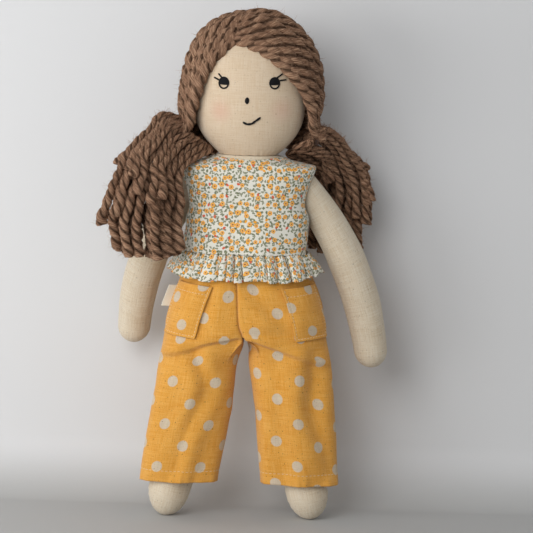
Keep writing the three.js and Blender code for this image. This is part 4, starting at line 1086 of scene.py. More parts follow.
# Blouse
blouse = {
    "stations": [(302.5, 28, 24.5, 2.2), (299.2, 36.5, 26.7, 2.4), (296.2, 50, 28.3, 2.6),
                 (293.6, 56.6, 29.5, 2.8), (281, 53.3, 34.5, 2.8), (263, 49.4, 35.9, 2.8),
                 (243, 50.4, 36.5, 2.8), (222.5, 51, 36.5, 2.8)],
    "dip": 2.5, "armhole": (17.0, 244.0, 292.4), "opening": 0.8, "cloth": 0.9, "rows": 118,
    "columns": {"front": 150, "back": 76}, "printRow": 60, "printEdge": 293.0,
    "drape": 0.85, "drapeLength": 34, "bulge": 2.8, "bulgeZ": 250, "bulgeHigh": 13, "sideFold": 0.5,
    "gather": 0.35, "gatherPace": 1.05, "inset": 0.4, "stitches": (2.3, 0.8, 0.22, 0.16),
}
ruffle = {
    "top": 222.5, "bottom": 202.0, "topSize": (51.4, 37.0), "bottomSize": (62.5, 42.5), "folds": 37,
    "depth": 4.1, "power": 2.6, "columns": 1300, "rows": 34, "sideLift": 5.5, "cloth": 0.6,
    "high": 0.026, "crimp": 1.1, "lean": 1.7, "inset": 0.5, "stitches": (1.9, 0.7, 0.17, 0.12),
}


# The blouse as rows of whole rings, from the neckline over the shoulders to the hem.
def blouseRings(rows, turns):
    stations = np.array(blouse["stations"])
    reach = lengthAlong(stations[:, [0, 1]], 0)
    places = np.interp(np.linspace(0, reach[-1], rows), reach, np.arange(len(stations)))
    table = smoothly(np.arange(len(stations)), stations, places)
    grid = roundedRings(table[:, 0], table[:, 1], table[:, 2], table[:, 3], turns)
    fade = np.clip(1 - places / 2, 0, 1)[:, None]
    grid[..., 2] -= fade * blouse["dip"] * (1 - (grid[..., 0] / table[:, 1:2]) ** 2)
    return grid, table


# How far from the middle of the side the armhole's edge lies at each height.
def armholeEdge(heights):
    deep, low, high = blouse["armhole"]
    share = (heights - (low + high) / 2) / ((high - low) / 2)
    return deep * np.sqrt(np.clip(1 - share ** 2, 0, 1))


# The panel's cloth coordinates: down the panel they follow its rows, and where the shoulder lies
# flat they go over to sideways and front-to-back lengths, so that the print isn't drawn out there.
def shoulderMap(grid, normals, zero):
    cloth = clothMapOf(grid, False, zero)
    row = blouse["printRow"]
    way = np.sign(grid[row, -1, 0] - grid[row, 0, 0])
    edge = int(np.argmin(np.abs(grid[:, zero, 2] - blouse["printEdge"])))
    sideways = way * (grid[..., 0] - grid[row, zero, 0])
    inwards = np.maximum(np.abs(grid[edge, zero, 1]) - np.abs(grid[..., 1]), 0)
    upwards = cloth[edge, zero, 1] - np.hypot(inwards, np.maximum(grid[..., 2] - grid[edge, zero, 2], 0))
    flat = smoothStep(np.abs(normals[..., 2]), 0.35, 0.7)[..., None]
    return cloth * (1 - flat) + np.stack([sideways, upwards], -1) * flat


# One panel between two side seams or between a side seam and the back opening. The cloth hangs in
# soft waves that grow downwards, swells on the right by a bell of the height, and is gathered at
# the hem by a sine across.
def blousePanel(name, startTurn, endTurn, node, columns):
    rings, table = blouseRings(blouse["rows"], np.linspace(startTurn, endTurn, 600))
    grid = []
    for ring, row in zip(rings, table):
        edge = max(armholeEdge(row[0]), 0.2)
        front = startTurn > 0.2 and endTurn < 0.8
        inPanel = (ring[:, 1] <= -edge) if front else (ring[:, 1] >= edge)
        if startTurn in (0.0, 0.5) or endTurn in (0.5, 1.0):
            inPanel &= np.abs(ring[:, 0]) >= blouse["opening"] / 2
        run = ring[inPanel]
        reach = lengthAlong(run, 0)
        grid.append(pointsAt(np.linspace(0, reach[-1], columns), reach, run))
    grid = np.array(grid)
    normals = gridNormals(grid, False)
    x, z = grid[..., 0], grid[..., 2]
    low = smoothStep(z, 262, 225)
    side = smoothStep(np.abs(x), 20, 48)
    drape = blouse["drape"] * waves(grid * [1, 1, 0.35], blouse["drapeLength"], 5) * (0.3 + 0.7 * low)
    drape += blouse["bulge"] * bell(z - blouse["bulgeZ"], blouse["bulgeHigh"]) * smoothStep(x, 28, 50)
    drape += blouse["sideFold"] * side * np.sin(z * 0.33 + x * 0.12) * smoothStep(z, 285, 250)
    gathers = blouse["gather"] * np.sin(x * blouse["gatherPace"]) * smoothStep(z, 228, 218)
    grid = grid + (drape - blouse["inset"] + gathers)[..., None] * normals
    piece = gridPiece(name, grid, shoulderMap(grid, normals, columns // 2), middle=(0, 0, 255))
    finishSheet(piece, floral, blouse["cloth"], [node])
    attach(piece, "torso")
    return grid, normals


# Topstitching along the edge rows or columns of a panel. The stitches are given as their length,
# gap, radius and lift.
def edgeStitches(name, lines, material, body, stitches):
    stitch, gap, radius, lift = stitches
    paths = np.concatenate([stitchPaths(line, ways, stitch, gap, lift) for line, ways in lines])
    piece = dress(threadPiece(name, paths, radius, 6, random.uniform(0, 1, len(paths))), material)
    if body is not None:
        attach(piece, body)
    return piece


# Three panels with stitches along the neckline and round both armholes.
def makeBlouse():
    wide, narrow = blouse["columns"]["front"], blouse["columns"]["back"]
    panels = [blousePanel("blouse_front_panel", 0.25, 0.75, "blouse_front", wide),
              blousePanel("blouse_back_left_panel", 0.0, 0.25, "blouse_back_left", narrow),
              blousePanel("blouse_back_right_panel", 0.75, 1.0, "blouse_back_right", narrow)]
    hems = []
    for grid, ways in panels:
        hems.append((grid[4], ways[4]))
        hole = (grid[:, 0, 2] < 289.5) & (grid[:, 0, 2] > 246)
        for column in (3, -4):
            if np.abs(grid[60, column, 0]) > 30:
                hems.append((grid[hole, column], ways[hole, column]))
    edgeStitches("blouse_stitches", hems, whiteThread, "torso", blouse["stitches"])


# The gathered ruffle: folds that start narrow at the seam, deepen and drift sideways on the way
# down, each with its own width and depth. A fold stands off by 2 |sin(pi phase)| to the power 0.6,
# less 1.15, and a finer crimp fades from the seam as exp(-3.2 share).
def makeRuffle():
    dice = np.random.default_rng(7)
    share = np.linspace(0, 1, ruffle["rows"])
    flare = share ** 0.8
    top, low = np.array(ruffle["topSize"]), np.array(ruffle["bottomSize"])
    size = top + flare[:, None] * (low - top)
    turns = np.arange(ruffle["columns"]) / ruffle["columns"]
    heights = ruffle["top"] + share * (ruffle["bottom"] - ruffle["top"])
    grid = roundedRings(heights, size[:, 0], size[:, 1], np.full(len(share), ruffle["power"]), turns)
    normals = gridNormals(grid, True)
    drift = sum(dice.uniform(-1, 1) * np.sin(2 * math.pi * (k * turns + dice.uniform())) / k
                for k in range(1, 20)) * 0.36
    phase = (ruffle["folds"] * (turns + drift / 9))[None]
    slowSway = np.sin(2 * math.pi * (3 * turns + 0.3)) + 0.6 * np.sin(2 * math.pi * (11 * turns))
    sway = share[:, None] * 0.42 * slowSway[None]
    wide = 2 * np.abs(np.sin(math.pi * (phase + sway))) ** 0.6 - 1.15
    own = 0.78 + 0.5 * np.sin(2 * math.pi * (phase / 2.7 + 0.2)) * np.sin(2 * math.pi * phase / 6.3)
    deep = 0.42 + 0.58 * flare[:, None]
    fold = ruffle["depth"] * own * deep * wide
    crimp = np.abs(np.sin(2 * math.pi * (phase * 1.5 + 0.17 * np.sin(phase)))) ** 0.5 - 0.75
    fine = ruffle["crimp"] * crimp * np.exp(-share[:, None] * 3.2) * (0.6 + 0.4 * np.sin(phase * 1.7))
    tangent = unit(np.roll(grid, -1, axis=1) - np.roll(grid, 1, axis=1))
    lean = ruffle["lean"] * flare[:, None] * np.cos(2 * math.pi * (phase + sway) + 0.6)
    grid = grid + (fold + fine - ruffle["inset"])[..., None] * normals + lean[..., None] * tangent
    corner = smoothStep(np.abs(grid[..., 0]), 42, 64)
    hemWave = 1.5 * own * wide + 0.9 * np.sin(2 * math.pi * (phase / 3.1 + 0.2))
    grid[..., 2] += flare[:, None] * (ruffle["sideLift"] * corner - hemWave)
    cloth = clothMapOf(grid, True, ruffle["columns"] // 2, heights=lengthAlong(grid[:, :1], 0)[:, 0])
    cloth[..., 0] = cloth[-1, :, 0]
    piece = gridPiece("blouse_ruffle_cloth", grid, cloth, closed=True, middle=(0, 0, 206))
    finishSheet(piece, floral, ruffle["cloth"],
                ["blouse_ruffle"])
    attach(piece, "torso")
    edgeStitches("ruffle_stitches", [(closedRow(grid, -3), closedRow(normals, -3))], whiteThread,
                 "torso", ruffle["stitches"])


# A button's profile runs from the middle of its face over the rim to the middle of its back, as
# radius and height.
button = {
    "profile": [(0.0, 0.35), (1.0, 0.35), (2.2, 0.4), (2.9, 0.75), (3.5, 1.0), (4.1, 0.95), (4.42, 0.6),
                (4.5, 0.0), (4.42, -0.6), (4.0, -0.95), (2.5, -1.0), (0.0, -1.0)],
    "z": 295.5, "slope": 20.0, "hole": 0.6, "holeOffset": 0.95, "holeDepth": 1.2, "thread": 0.17,
}


# A dished four-hole button, turned about its middle and sewn on with a cross of thread.
def makeButton():
    stops = np.arange(len(button["profile"]))
    rows = smoothly(stops, button["profile"], np.linspace(0.02, len(stops) - 1.02, 120))
    angle = 2 * math.pi * np.arange(120) / 120
    x, z = rows[:, :1] * np.cos(angle), rows[:, :1] * np.sin(angle)
    out = np.broadcast_to(rows[:, 1:], x.shape).copy()
    off = button["holeOffset"]
    for holeX, holeZ in ((off, off), (off, -off), (-off, off), (-off, -off)):
        near = np.hypot(x - holeX, z - holeZ)
        dent = button["holeDepth"] * smoothStep(near, button["hole"] + 0.12, button["hole"] - 0.1)
        out -= np.where(out > 0, dent, 0)
    grid = np.stack([x, out, z], -1)
    tilt = turnAbout(0, -button["slope"])
    stations = np.array(blouse["stations"])
    place = np.array([0, np.interp(-button["z"], -stations[:, 0], stations[:, 2]) + 1.5, button["z"]])
    piece = gridPiece("blouse_button_four_hole", grid @ tilt.T + place, clothMapOf(grid, True, 60),
                      closed=True, poles=True)
    dress(piece, buttonLook())
    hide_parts("blouse_button")
    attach(piece, "torso")
    share = np.linspace(0, 1, 9)
    crossing = []
    for startX, startZ, endX, endZ in ((off, off, -off, -off), (off, -off, -off, off)):
        for shift in (-0.16, 0.16):
            arch = 0.35 + 0.45 * np.sin(math.pi * share)
            crossing.append(np.stack([startX + share * (endX - startX) + shift, arch,
                                      startZ + share * (endZ - startZ)], -1))
    thread = threadPiece("button_thread", np.array(crossing) @ tilt.T + place, button["thread"], 6)
    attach(dress(thread, whiteThread), "torso")


print("blouse")
makeBlouse()
makeRuffle()
makeButton()


# Trousers
trousers = {
    "top": 214.0, "crotch": 155.0, "power": 2.5, "cloth": 1.0,
    "outerX": [(213, 50.5), (196, 56.7), (183, 62.2), (170, 65.5), (31, 82.5)],
    "innerX": [(155, 0.0), (130, 5.4), (101, 9.0), (31, 19.0)],
    "depth": [(213, 35.5), (196, 36), (170, 37), (151, 35), (101, 28), (31, 23)],
    "fold": 1.3, "foldCount": 5, "alongCloth": 132, "alongSeam": 16,
    "hemCase": 9.0, "stitches": (2.6, 0.9, 0.24, 0.18),
    "sway": [(214, 0.5), (197, 2.5), (150, 2.5), (100, 1.5), (31, 0.4)],
    "seamWander": [(208, -8.5), (176, -7.0), (164, -6.0), (156, -3.5), (150, 2.0), (132, -1.5), (112, 0.0)],
    "creaseLines": {-1: [(0, 157), (7, 153), (21, 150.5), (32, 149), (42, 144.5), (56, 139), (70, 136)],
                    1: [(0, 154), (6, 151), (12, 149), (23, 146), (38, 141), (58, 134.5), (70, 131)]},
    "valleys": {-1: [([(143, 44), (117, 29), (103, 31), (81, 42), (62, 49), (42, 53)], 2.6),
                     ([(200, 24), (180, 30), (165, 36)], 1.2)],
                1: [([(140, 57), (122, 61), (103, 57), (80, 62), (59, 72), (45, 76)], 2.6),
                    ([(130, 24), (100, 30), (70, 33)], 1.2), ([(196, 10), (180, 20), (168, 34)], 1.4)]},
    "valleyWide": 6.5, "slack": 1.0, "drawn": 0.9, "knee": 0.8, "sideSeam": 0.35, "middleSeam": 0.9,
    "blendStart": 166.0, "blendEnd": 110.0,
    "dots": {"left": (1.0, 98.0, 0.0), "right": (3.0, 84.0, 6.6)},
}
pocket = {
    "top": 198.5, "bottom": 155.5, "topAngles": (-2.0, 62.0), "bottomAngles": (12.0, 70.0), "tilt": 3.0,
    "lift": 0.8, "cloth": 1.0, "dots": {"left": (7.5, 0.0, -12.0), "right": (24.5, -2.7, 12.0)},
    "columns": 56, "rows": 60, "gape": 1.1, "belly": 0.5, "rim": 0.25, "case": 0.3, "caseRow": 9,
    "stitches": (2.1, 0.7, 0.22, 0.16),
}


# Values between stops in straight lines, with the corners rounded by a mean over 16 mm.
def softStops(table, heights):
    rising = sorted(table)
    stops, values = zip(*rising)
    straight = np.interp(heights, stops, values)
    near = [np.interp(np.asarray(heights) + shift, stops, values) for shift in (-8, -4, 4, 8)]
    return (straight * 2 + sum(near)) / 6


# One measure of the trousers at given heights.
def cutAt(name, heights):
    return softStops(trousers[name], heights)


# How far a rounded outline lies from a start point on its middle line, along a ray.
def rayToOutline(startX, angle, halfWidth, halfDepth):
    near = np.zeros(np.broadcast(startX, angle).shape)
    far = near + 2 * (np.max(halfWidth) + np.max(halfDepth))
    for step in range(34):
        reach = (near + far) / 2
        x = np.abs((startX + reach * np.sin(angle)) / halfWidth)
        y = np.abs(reach * np.cos(angle) / halfDepth)
        inside = x ** trousers["power"] + y ** trousers["power"] < 1
        near, far = np.where(inside, reach, near), np.where(inside, far, reach)
    return near


# Points on the trousers. The angle turns from straight ahead (0) towards the outer side (90). Each
# ring is half of the body's oval above the crotch and goes over to the leg's own oval below it.
def trouserPoints(side, angle, z, lift=0.0):
    sway = cutAt("sway", z)
    outer, inner = cutAt("outerX", z), cutAt("innerX", z)
    inner = np.where(z > trousers["crotch"], 0.0, np.maximum(inner, 0.0))
    deep = cutAt("depth", z)
    middle, half = (outer + inner) / 2, (outer - inner) / 2
    tube = rayToOutline(0.0 * angle, angle, half, deep)
    toSeam = np.where(np.sin(angle) < -1e-6, (middle - inner) / np.maximum(-np.sin(angle), 1e-6), 600.0)
    halved = np.minimum(rayToOutline(middle + 0 * angle, angle, outer, deep), toSeam)
    parted = smoothStep(trousers["crotch"] - z, 0, 26)
    fold = trousers["fold"] * smoothStep(170 - z, 0, 60) * np.cos(trousers["foldCount"] * angle)
    reach = halved + (tube - halved) * parted + fold * parted + lift
    x = side * (middle + reach * np.sin(angle)) + sway
    return np.stack([x, -reach * np.cos(angle), z + 0 * angle], -1)


# The middle seam wanders to one side: the cloth near it moves across by an amount for each height.
def wandered(grid):
    x, y, z = grid[..., 0] - cutAt("sway", grid[..., 2]), grid[..., 1], grid[..., 2]
    near = 1 - smoothStep(np.abs(x), 6, 42)
    ahead = 0.25 + 0.75 * smoothStep(-y, -25, 12)
    moved = grid.copy()
    moved[..., 0] += cutAt("seamWander", z) * near * ahead
    return moved


# Soft creases that the weight of the legs draws: each is a line seen from ahead, with the cloth
# drawn in below it and swelling above it. Each hanging fold is a valley along a line of places,
# the height first, with a low ridge on both sides.
def creases(grid, side):
    x, y, z = side * (grid[..., 0] - cutAt("sway", grid[..., 2])), grid[..., 1], grid[..., 2]
    ahead = smoothStep(-y, -4, 14)
    behind = smoothStep(y, -4, 14)
    line = softStops(trousers["creaseLines"][side], x)
    below = line - z
    front = 1.7 * bell(below + 5, 6) - 4.0 * smoothStep(below, -1.5, 2.5) * smoothStep(below, 40, 4)
    front = front * smoothStep(-y, 6, 26)
    seat = 170 - 0.15 * x - z
    back = 0.9 * bell(seat + 4, 6) - 1.8 * smoothStep(seat, -2, 7) * smoothStep(seat, 46, 10)
    slack = trousers["slack"] * waves(grid * [1.0, 1.0, 0.35], 32, 40 + side) * smoothStep(z, 212, 160)
    hips = smoothStep(z, 150, 165) * smoothStep(z, 212, 195)
    drawn = trousers["drawn"] * waves(grid * [0.5, 0.5, 1.3], 30, 52 + side) * hips
    hang = 0
    for path, deep in trousers["valleys"][side]:
        away = x - softStops(path, z)
        wide = trousers["valleyWide"]
        top, low = path[0][0], path[-1][0]
        shown = smoothStep(z, top + 12, top) * smoothStep(z, low - 14, low)
        hang = hang + deep * (bell(away, wide) - 0.4 * bell(np.abs(away) - 1.9 * wide, wide)) * shown
    knee = trousers["knee"] * bell(z - 104 - 0.3 * (x - 45), 8) * waves(grid, 60, 44 + side)
    return front * ahead * smoothStep(x, -2, 6) + back * behind + slack + drawn * ahead - hang * ahead + knee


# One half of the trousers: columns round the outer cloth and then along the middle seam's walls.
# Both seams are grooves in the form of a bell, and creases fade out beside the middle.
def trouserGrid(side):
    fine = np.concatenate([np.linspace(213, 172, 42), np.linspace(171, 140, 48), np.linspace(139, hemZ, 92)])
    heights = fine[:, None]
    half = (cutAt("outerX", heights) - cutAt("innerX", heights)) / 2
    corner = np.arctan2(half, cutAt("depth", heights))
    cloth = np.linspace(0, 1, trousers["alongCloth"] + 1)
    seam = np.linspace(0, 1, trousers["alongSeam"] + 1)
    outerAngle = -corner + (math.pi + 2 * corner) * cloth
    frontWall = -math.pi / 2 + (math.pi / 2 - corner) * seam[:-1]
    backWall = math.pi + corner + (math.pi / 2 - corner) * seam[1:-1]
    angle = np.concatenate([frontWall, outerAngle, backWall], 1)
    z = heights + 0 * angle
    grid = trouserPoints(side, angle, z)
    normals = gridNormals(grid, True)
    shape = creases(grid, side)
    place = np.arange(angle.shape[1]) - trousers["alongSeam"]
    shape = shape - trousers["sideSeam"] * bell(place - trousers["alongCloth"] / 2, 1.2)[None]
    hem = 0.35 * bell(z - hemZ - trousers["hemCase"], 0.8)
    hem += 0.3 * np.sin(angle * 19 + np.sin(angle * 5)) * smoothStep(z, hemZ + 14, hemZ)
    middle = smoothStep(z, trousers["crotch"] - 4, trousers["crotch"] + 2)
    apart = grid[..., 0] - cutAt("sway", z)
    groove = bell(apart, 1.6) * trousers["middleSeam"] * middle
    shape = shape * (1 - 0.8 * bell(apart, 5.0) * middle) - hem - groove
    straight = bell(apart, 4.0) * middle
    normals = unit(normals * np.stack([1 - straight, 1 + 0 * z, 1 + 0 * z], -1))
    grid = grid + shape[..., None] * normals
    atSeam = (np.abs(apart) < 0.7) & (z > trousers["crotch"])
    grid[..., 0] = np.where(atSeam, cutAt("sway", z), grid[..., 0])
    return wandered(grid), normals, angle


# One half of the trousers as a sheet with its hem stitches. Its cloth places run across from the
# leg's front middle line, and up.
def makeTrousers(word):
    side = sides[word]
    grid, normals, angle = trouserGrid(side)
    rows = np.concatenate([grid, grid[:, :1]], axis=1)
    along = lengthAlong(rows, 1)
    zero = np.array([np.interp(0.0, row, reach) for row, reach in zip(angle, along[:, :-1])])
    cloth = np.stack([along - zero[:, None], np.broadcast_to(grid[:, :1, 2], along.shape)], -1)
    cells = np.arange(angle.shape[1])[None] - trousers["alongSeam"] + 0 * np.arange(len(grid) - 1)[:, None]
    outer = (cells >= 0) & (cells < trousers["alongCloth"])
    mask = outer | (grid[:-1, :1, 2] < trousers["crotch"] + 0.5)
    piece = gridPiece(f"trousers_{word}", grid, cloth, closed=True, mask=mask, middle=(side * 40, 0, 120))
    dotX, dotZ, turn = trousers["dots"][word]
    finishSheet(piece, dottedLook(f"dottedCotton_{word}", (dotX, dotZ), turn),
                trousers["cloth"],
                [f"trouser_seat_{word}", f"trouser_hip_{word}", f"trouser_leg_{word}"])
    blendTrousers(piece)
    row = int(np.argmin(np.abs(grid[:, 0, 2] - (hemZ + trousers["hemCase"]))))
    edgeStitches(f"hem_stitches_{word}", [(closedRow(grid, row), closedRow(normals, row))], paleThread,
                 f"leg_{word}", trousers["stitches"])


# Bakes the piece's placement into its points.
def blendTrousers(piece):
    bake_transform(piece)


# A patch pocket over the trousers, its edges folded under and its top hem stitched down.
def makePocket(word):
    side = sides[word]
    columns, rows = pocket["columns"], pocket["rows"]
    share = np.linspace(0, 1, rows)[:, None]
    across = np.linspace(0, 1, columns)[None]
    (topStart, topEnd), (lowStart, lowEnd) = pocket["topAngles"], pocket["bottomAngles"]
    topAngle = topStart + across * (topEnd - topStart)
    lowAngle = lowStart + across * (lowEnd - lowStart)
    angle = np.radians(topAngle + share * (lowAngle - topAngle))
    z = pocket["top"] + share * (pocket["bottom"] - pocket["top"]) - pocket["tilt"] * (1 - across)
    base = trouserPoints(side, angle, z)
    normals = gridNormals(base, False)
    if np.sum(normals[..., 1]) > 0:
        normals = -normals
    lift = pocket["lift"] + pocket["cloth"] + np.maximum(creases(base, side), -0.4)
    gape = pocket["gape"] * np.exp(-share * 7) * np.sin(math.pi * across)
    gape = gape + 0.5 * np.exp(-across * 9) * (1 - share * 0.6)
    belly = pocket["belly"] * np.sin(math.pi * share) * np.sin(math.pi * across)
    belly = belly + 0.3 * waves(base, 26, 61 + side)
    edges = np.minimum(np.minimum(across, 1 - across) * columns, (1 - share) * rows)
    rim = pocket["rim"] * bell(edges - 1.2, 1.1) - 0.22 * bell(edges - 4.2, 1.0)
    case = -pocket["case"] * bell(share * rows - pocket["caseRow"] - 0.5, 1.0)
    grid = base + (lift + gape + belly + rim + case)[..., None] * normals
    dotX, dotZ, turn = pocket["dots"][word]
    cloth = clothMapOf(grid, False, 0)
    cloth = np.stack([cloth[..., 0], -cloth[..., 1]], -1)
    piece = gridPiece(f"pocket_{word}_patch", grid, cloth, middle=(side * 30, 40, 172))
    finishSheet(piece, dottedLook(f"pocketCotton_{word}", (dotX, dotZ), turn),
                pocket["cloth"], [f"pocket_{word}"])
    blendTrousers(piece)
    down, along = slice(2, -3), slice(3, -3)
    runs = ((down, 3), (down, -4), (-4, along), (pocket["caseRow"], along))
    stitches = edgeStitches(f"pocket_stitches_{word}", [(grid[run], normals[run]) for run in runs],
                            paleThread, None, pocket["stitches"])
    blendTrousers(stitches)


elastic = {
    "top": 211.5, "bottom": 205.5, "rows": 25, "columns": 240, "half": (48.5, 33.5), "power": 2.3,
    "rib": 0.75, "ribDepth": 0.12, "cloth": 1.0, "flatHigh": 0.01, "cutHigh": 0.0061,
    "pale": colour(0.95, 0.94, 0.91), "dark": colour(0.85, 0.84, 0.80),
}


# The elastic in the waist casing: an oval band with ribs along it, depth times sin(pi z / rib).
def makeElastic():
    heights = np.linspace(elastic["top"], elastic["bottom"], elastic["rows"])
    turns = np.arange(elastic["columns"]) / elastic["columns"]
    wide, deep, power = (np.full(elastic["rows"], value) for value in (*elastic["half"], elastic["power"]))
    outer = roundedRings(heights, wide, deep, power, turns)
    ribs = elastic["ribDepth"] * np.sin(heights * math.pi / elastic["rib"])
    grid = outer * (1 + (ribs[:, None, None] - 0.1) / 48 * [1, 1, 0])
    cloth = clothMapOf(grid, True, elastic["columns"] // 2, heights=heights)
    piece = gridPiece("waist_elastic_band", grid, cloth, closed=True)
    look = webbingLook("elasticWebbing", elastic["pale"], elastic["dark"], elastic["rib"])
    finishSheet(piece, look, elastic["cloth"],
                ["waist_elastic"])
    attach(piece, "torso")


tag = {
    "length": 8.0, "high": 17.6, "top": 193.0, "turn": 10.0, "half": 0.38, "cloth": 0.22, "rib": 0.42,
    "belly": 0.12, "curl": 0.25, "flat": (0.0195, 0.018), "pale": colour(0.97, 0.96, 0.91),
    "dark": colour(0.93, 0.91, 0.84),
}


# A folded ribbon tag: a loop of ribbon with both ends in the side seam. Seen from above it runs
# out, round a half circle and back, and it curls a little by the square of the way out.
def makeTag():
    seat = trouserPoints(-1, np.array(math.pi / 2), np.array(tag["top"] - 0.6 * tag["high"]), 0.4)
    length, half = tag["length"], tag["half"]
    out = np.linspace(0, length - half, 26)
    bend = np.linspace(-math.pi / 2, math.pi / 2, 10)[1:-1]
    pathX = np.concatenate([out, length - half + half * np.cos(bend), out[::-1]])
    pathY = np.concatenate([np.full(26, -half), half * np.sin(bend), np.full(26, half)])
    belly = tag["belly"] * np.sin(np.clip(pathX / length, 0, 1) * math.pi)
    pathY = pathY + np.sign(pathY) * belly
    down = np.linspace(0, -tag["high"], 40)
    x = -(pathX[None] + 0 * down[:, None])
    curl = tag["curl"] * np.sin(down[:, None] / tag["high"] * math.pi) * (pathX[None] / length) ** 2
    grid = np.stack([x, pathY[None] + curl, down[:, None] + 0 * x], -1)
    edge = trouserPoints(-1, np.full(40, math.pi / 2), tag["top"] + down, 0.4)[:, 0] + 1.6
    grid = grid @ turnAbout(2, tag["turn"]).T + [0, seat[1], tag["top"]] + edge[:, None, None] * [1, 0, 0]
    middle = grid[:, [13, -14]].mean((0, 1))
    piece = gridPiece("side_tag_ribbon", grid, clothMapOf(grid, False, 0), middle=middle)
    look = webbingLook("tagRibbon", tag["pale"], tag["dark"], tag["rib"])
    finishSheet(piece, look, tag["cloth"], ["side_tag"])
    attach(piece, "side_tag")


print("trousers")
for word in sides:
    makeTrousers(word)
    makePocket(word)
makeElastic()
makeTag()


# Yarn hair
strand = {
    "offset": 1.9, "out": 2.45, "side": 3.35, "sides": 10, "rows": 96, "radius": 4.4, "lay": 1.12,
    "girth": 2.9, "lumps": ((0.08, 9, 77), (0.05, 4.5, 78)),
}
looseFibres = {
    "onHead": 4000, "onPigtail": 6400, "radius": 0.08, "length": (1.2, 5.0), "lean": 1.1, "out": 0.8,
    "bend": 0.55, "sunk": 0.9,
}
shell = {"centre": (-1.4, 2.0, 347.0), "side": 54.5, "depth": 45.5, "up": 64.0, "down": 53.0, "power": 2.15}
parting = {
    "turn": math.atan2(13, 50), "front": 38.0, "back": 203.0, "strands": 26, "pitch": 23.0,
    "startShift": {"left": 0.02, "right": 0.06}, "dip": {"left": 0.0, "right": 2.4}, "rootDip": 3.0,
    "pull": {"left": 2.2, "right": 1.6}, "sag": 13.0, "bulge": 2.0, "tieX": 61.0, "tieRing": (2.5, 7.0),
    "tieScale": 0.62, "lift": (-1.5, 2.0),
}
tie = {"x": 53.0, "z": 321.0, "ringX": 55.5, "ring": 8.2, "thick": 3.0, "cover": 0.4, "rib": 0.8,
       "pale": colour(0.40, 0.28, 0.21), "dark": colour(0.29, 0.20, 0.15)}
frontGuides = {
    "left": [(-15, 395), (-32.5, 377), (-42.2, 355), (-45.4, 340), (-43.5, 324), (-41, 317)],
    "right": [(-12, 396), (6, 390), (26.5, 376.5), (35.8, 367), (44.6, 356), (48.4, 347), (49.3, 335),
              (46, 323), (43, 316)],
}

# A station is the inner and the outer edge seen from ahead, the half depth, and how far it lies
# ahead or behind.
pigtail = {
    "strands": 36, "short": 6, "packing": 84.0, "pitch": 17.0, "widest": 5, "wobble": 2.2,
    "wobbleLength": 36, "thin": 0.91, "bendStart": (50.0, 321.0), "bendEnd": (72.0, 286.0),
    "left": {
        "stations": [((52, 309), (52, 333), 12, 0), ((54, 303), (73, 338), 15, 9),
                     ((52, 297), (89, 322), 18, 21), ((50, 287), (107, 302), 21, 31),
                     ((47, 268), (116, 277), 22, 38), ((46, 247), (126, 251), 22, 39),
                     ((49, 230), (114, 235), 19, 39), ((56, 216), (94, 216), 13, 39)],
        "ahead": -1, "inward": 24.0,
    },
    "right": {
        "stations": [((52, 307), (52, 330), 12, 0), ((54, 300), (70, 327), 14, 12),
                     ((54, 293), (85, 313), 16, 28), ((52, 282), (100, 297), 18, 41),
                     ((50, 266), (108, 276), 19, 46), ((49, 245), (108, 249), 19, 47),
                     ((51, 229), (106, 231), 16, 47), ((58, 218), (92, 218), 11, 47)],
        "ahead": 1, "inward": 22.0,
    },
}


# Two plies wound round each strand: the centre of a ply circles the path once in each pitch, and
# its section is an oval that stands across the twist. Returns rings, lengths and girths.
def plyRings(paths, scale, phase, pitch):
    sideways, upward = crossWays(paths)
    along = lengthAlong(paths, 1)
    rings, lengths, girths = [], [], []
    edge = 2 * math.pi * np.arange(strand["sides"]) / strand["sides"]
    lumps = 1 + sum(high * waves(paths, length, seed) for high, length, seed in strand["lumps"])
    size = (scale * lumps)[..., None]
    for half in (0.0, math.pi):
        turn = (phase[:, None] + half - 2 * math.pi * along / pitch)[..., None]
        out = np.cos(turn) * sideways + np.sin(turn) * upward
        flank = -np.sin(turn) * sideways + np.cos(turn) * upward
        centre = paths + strand["offset"] * size * out
        ring = centre[:, :, None] + size[..., None] * (
            strand["out"] * np.cos(edge)[None, None, :, None] * out[:, :, None]
            + strand["side"] * np.sin(edge)[None, None, :, None] * flank[:, :, None])
        rings.append(ring)
        lengths.append(along * strand["lay"])
        girths.append(2 * math.pi * strand["girth"] * scale)
    return np.concatenate(rings), np.concatenate(lengths), np.concatenate(girths)


# How far round a ply each of its edge points lies from the outside: 0 outside, 1 at the core.
# It sets how deep the painted shade between the plies is.
grooves = (1 - np.cos(2 * math.pi * np.arange(strand["sides"]) / strand["sides"])) / 2


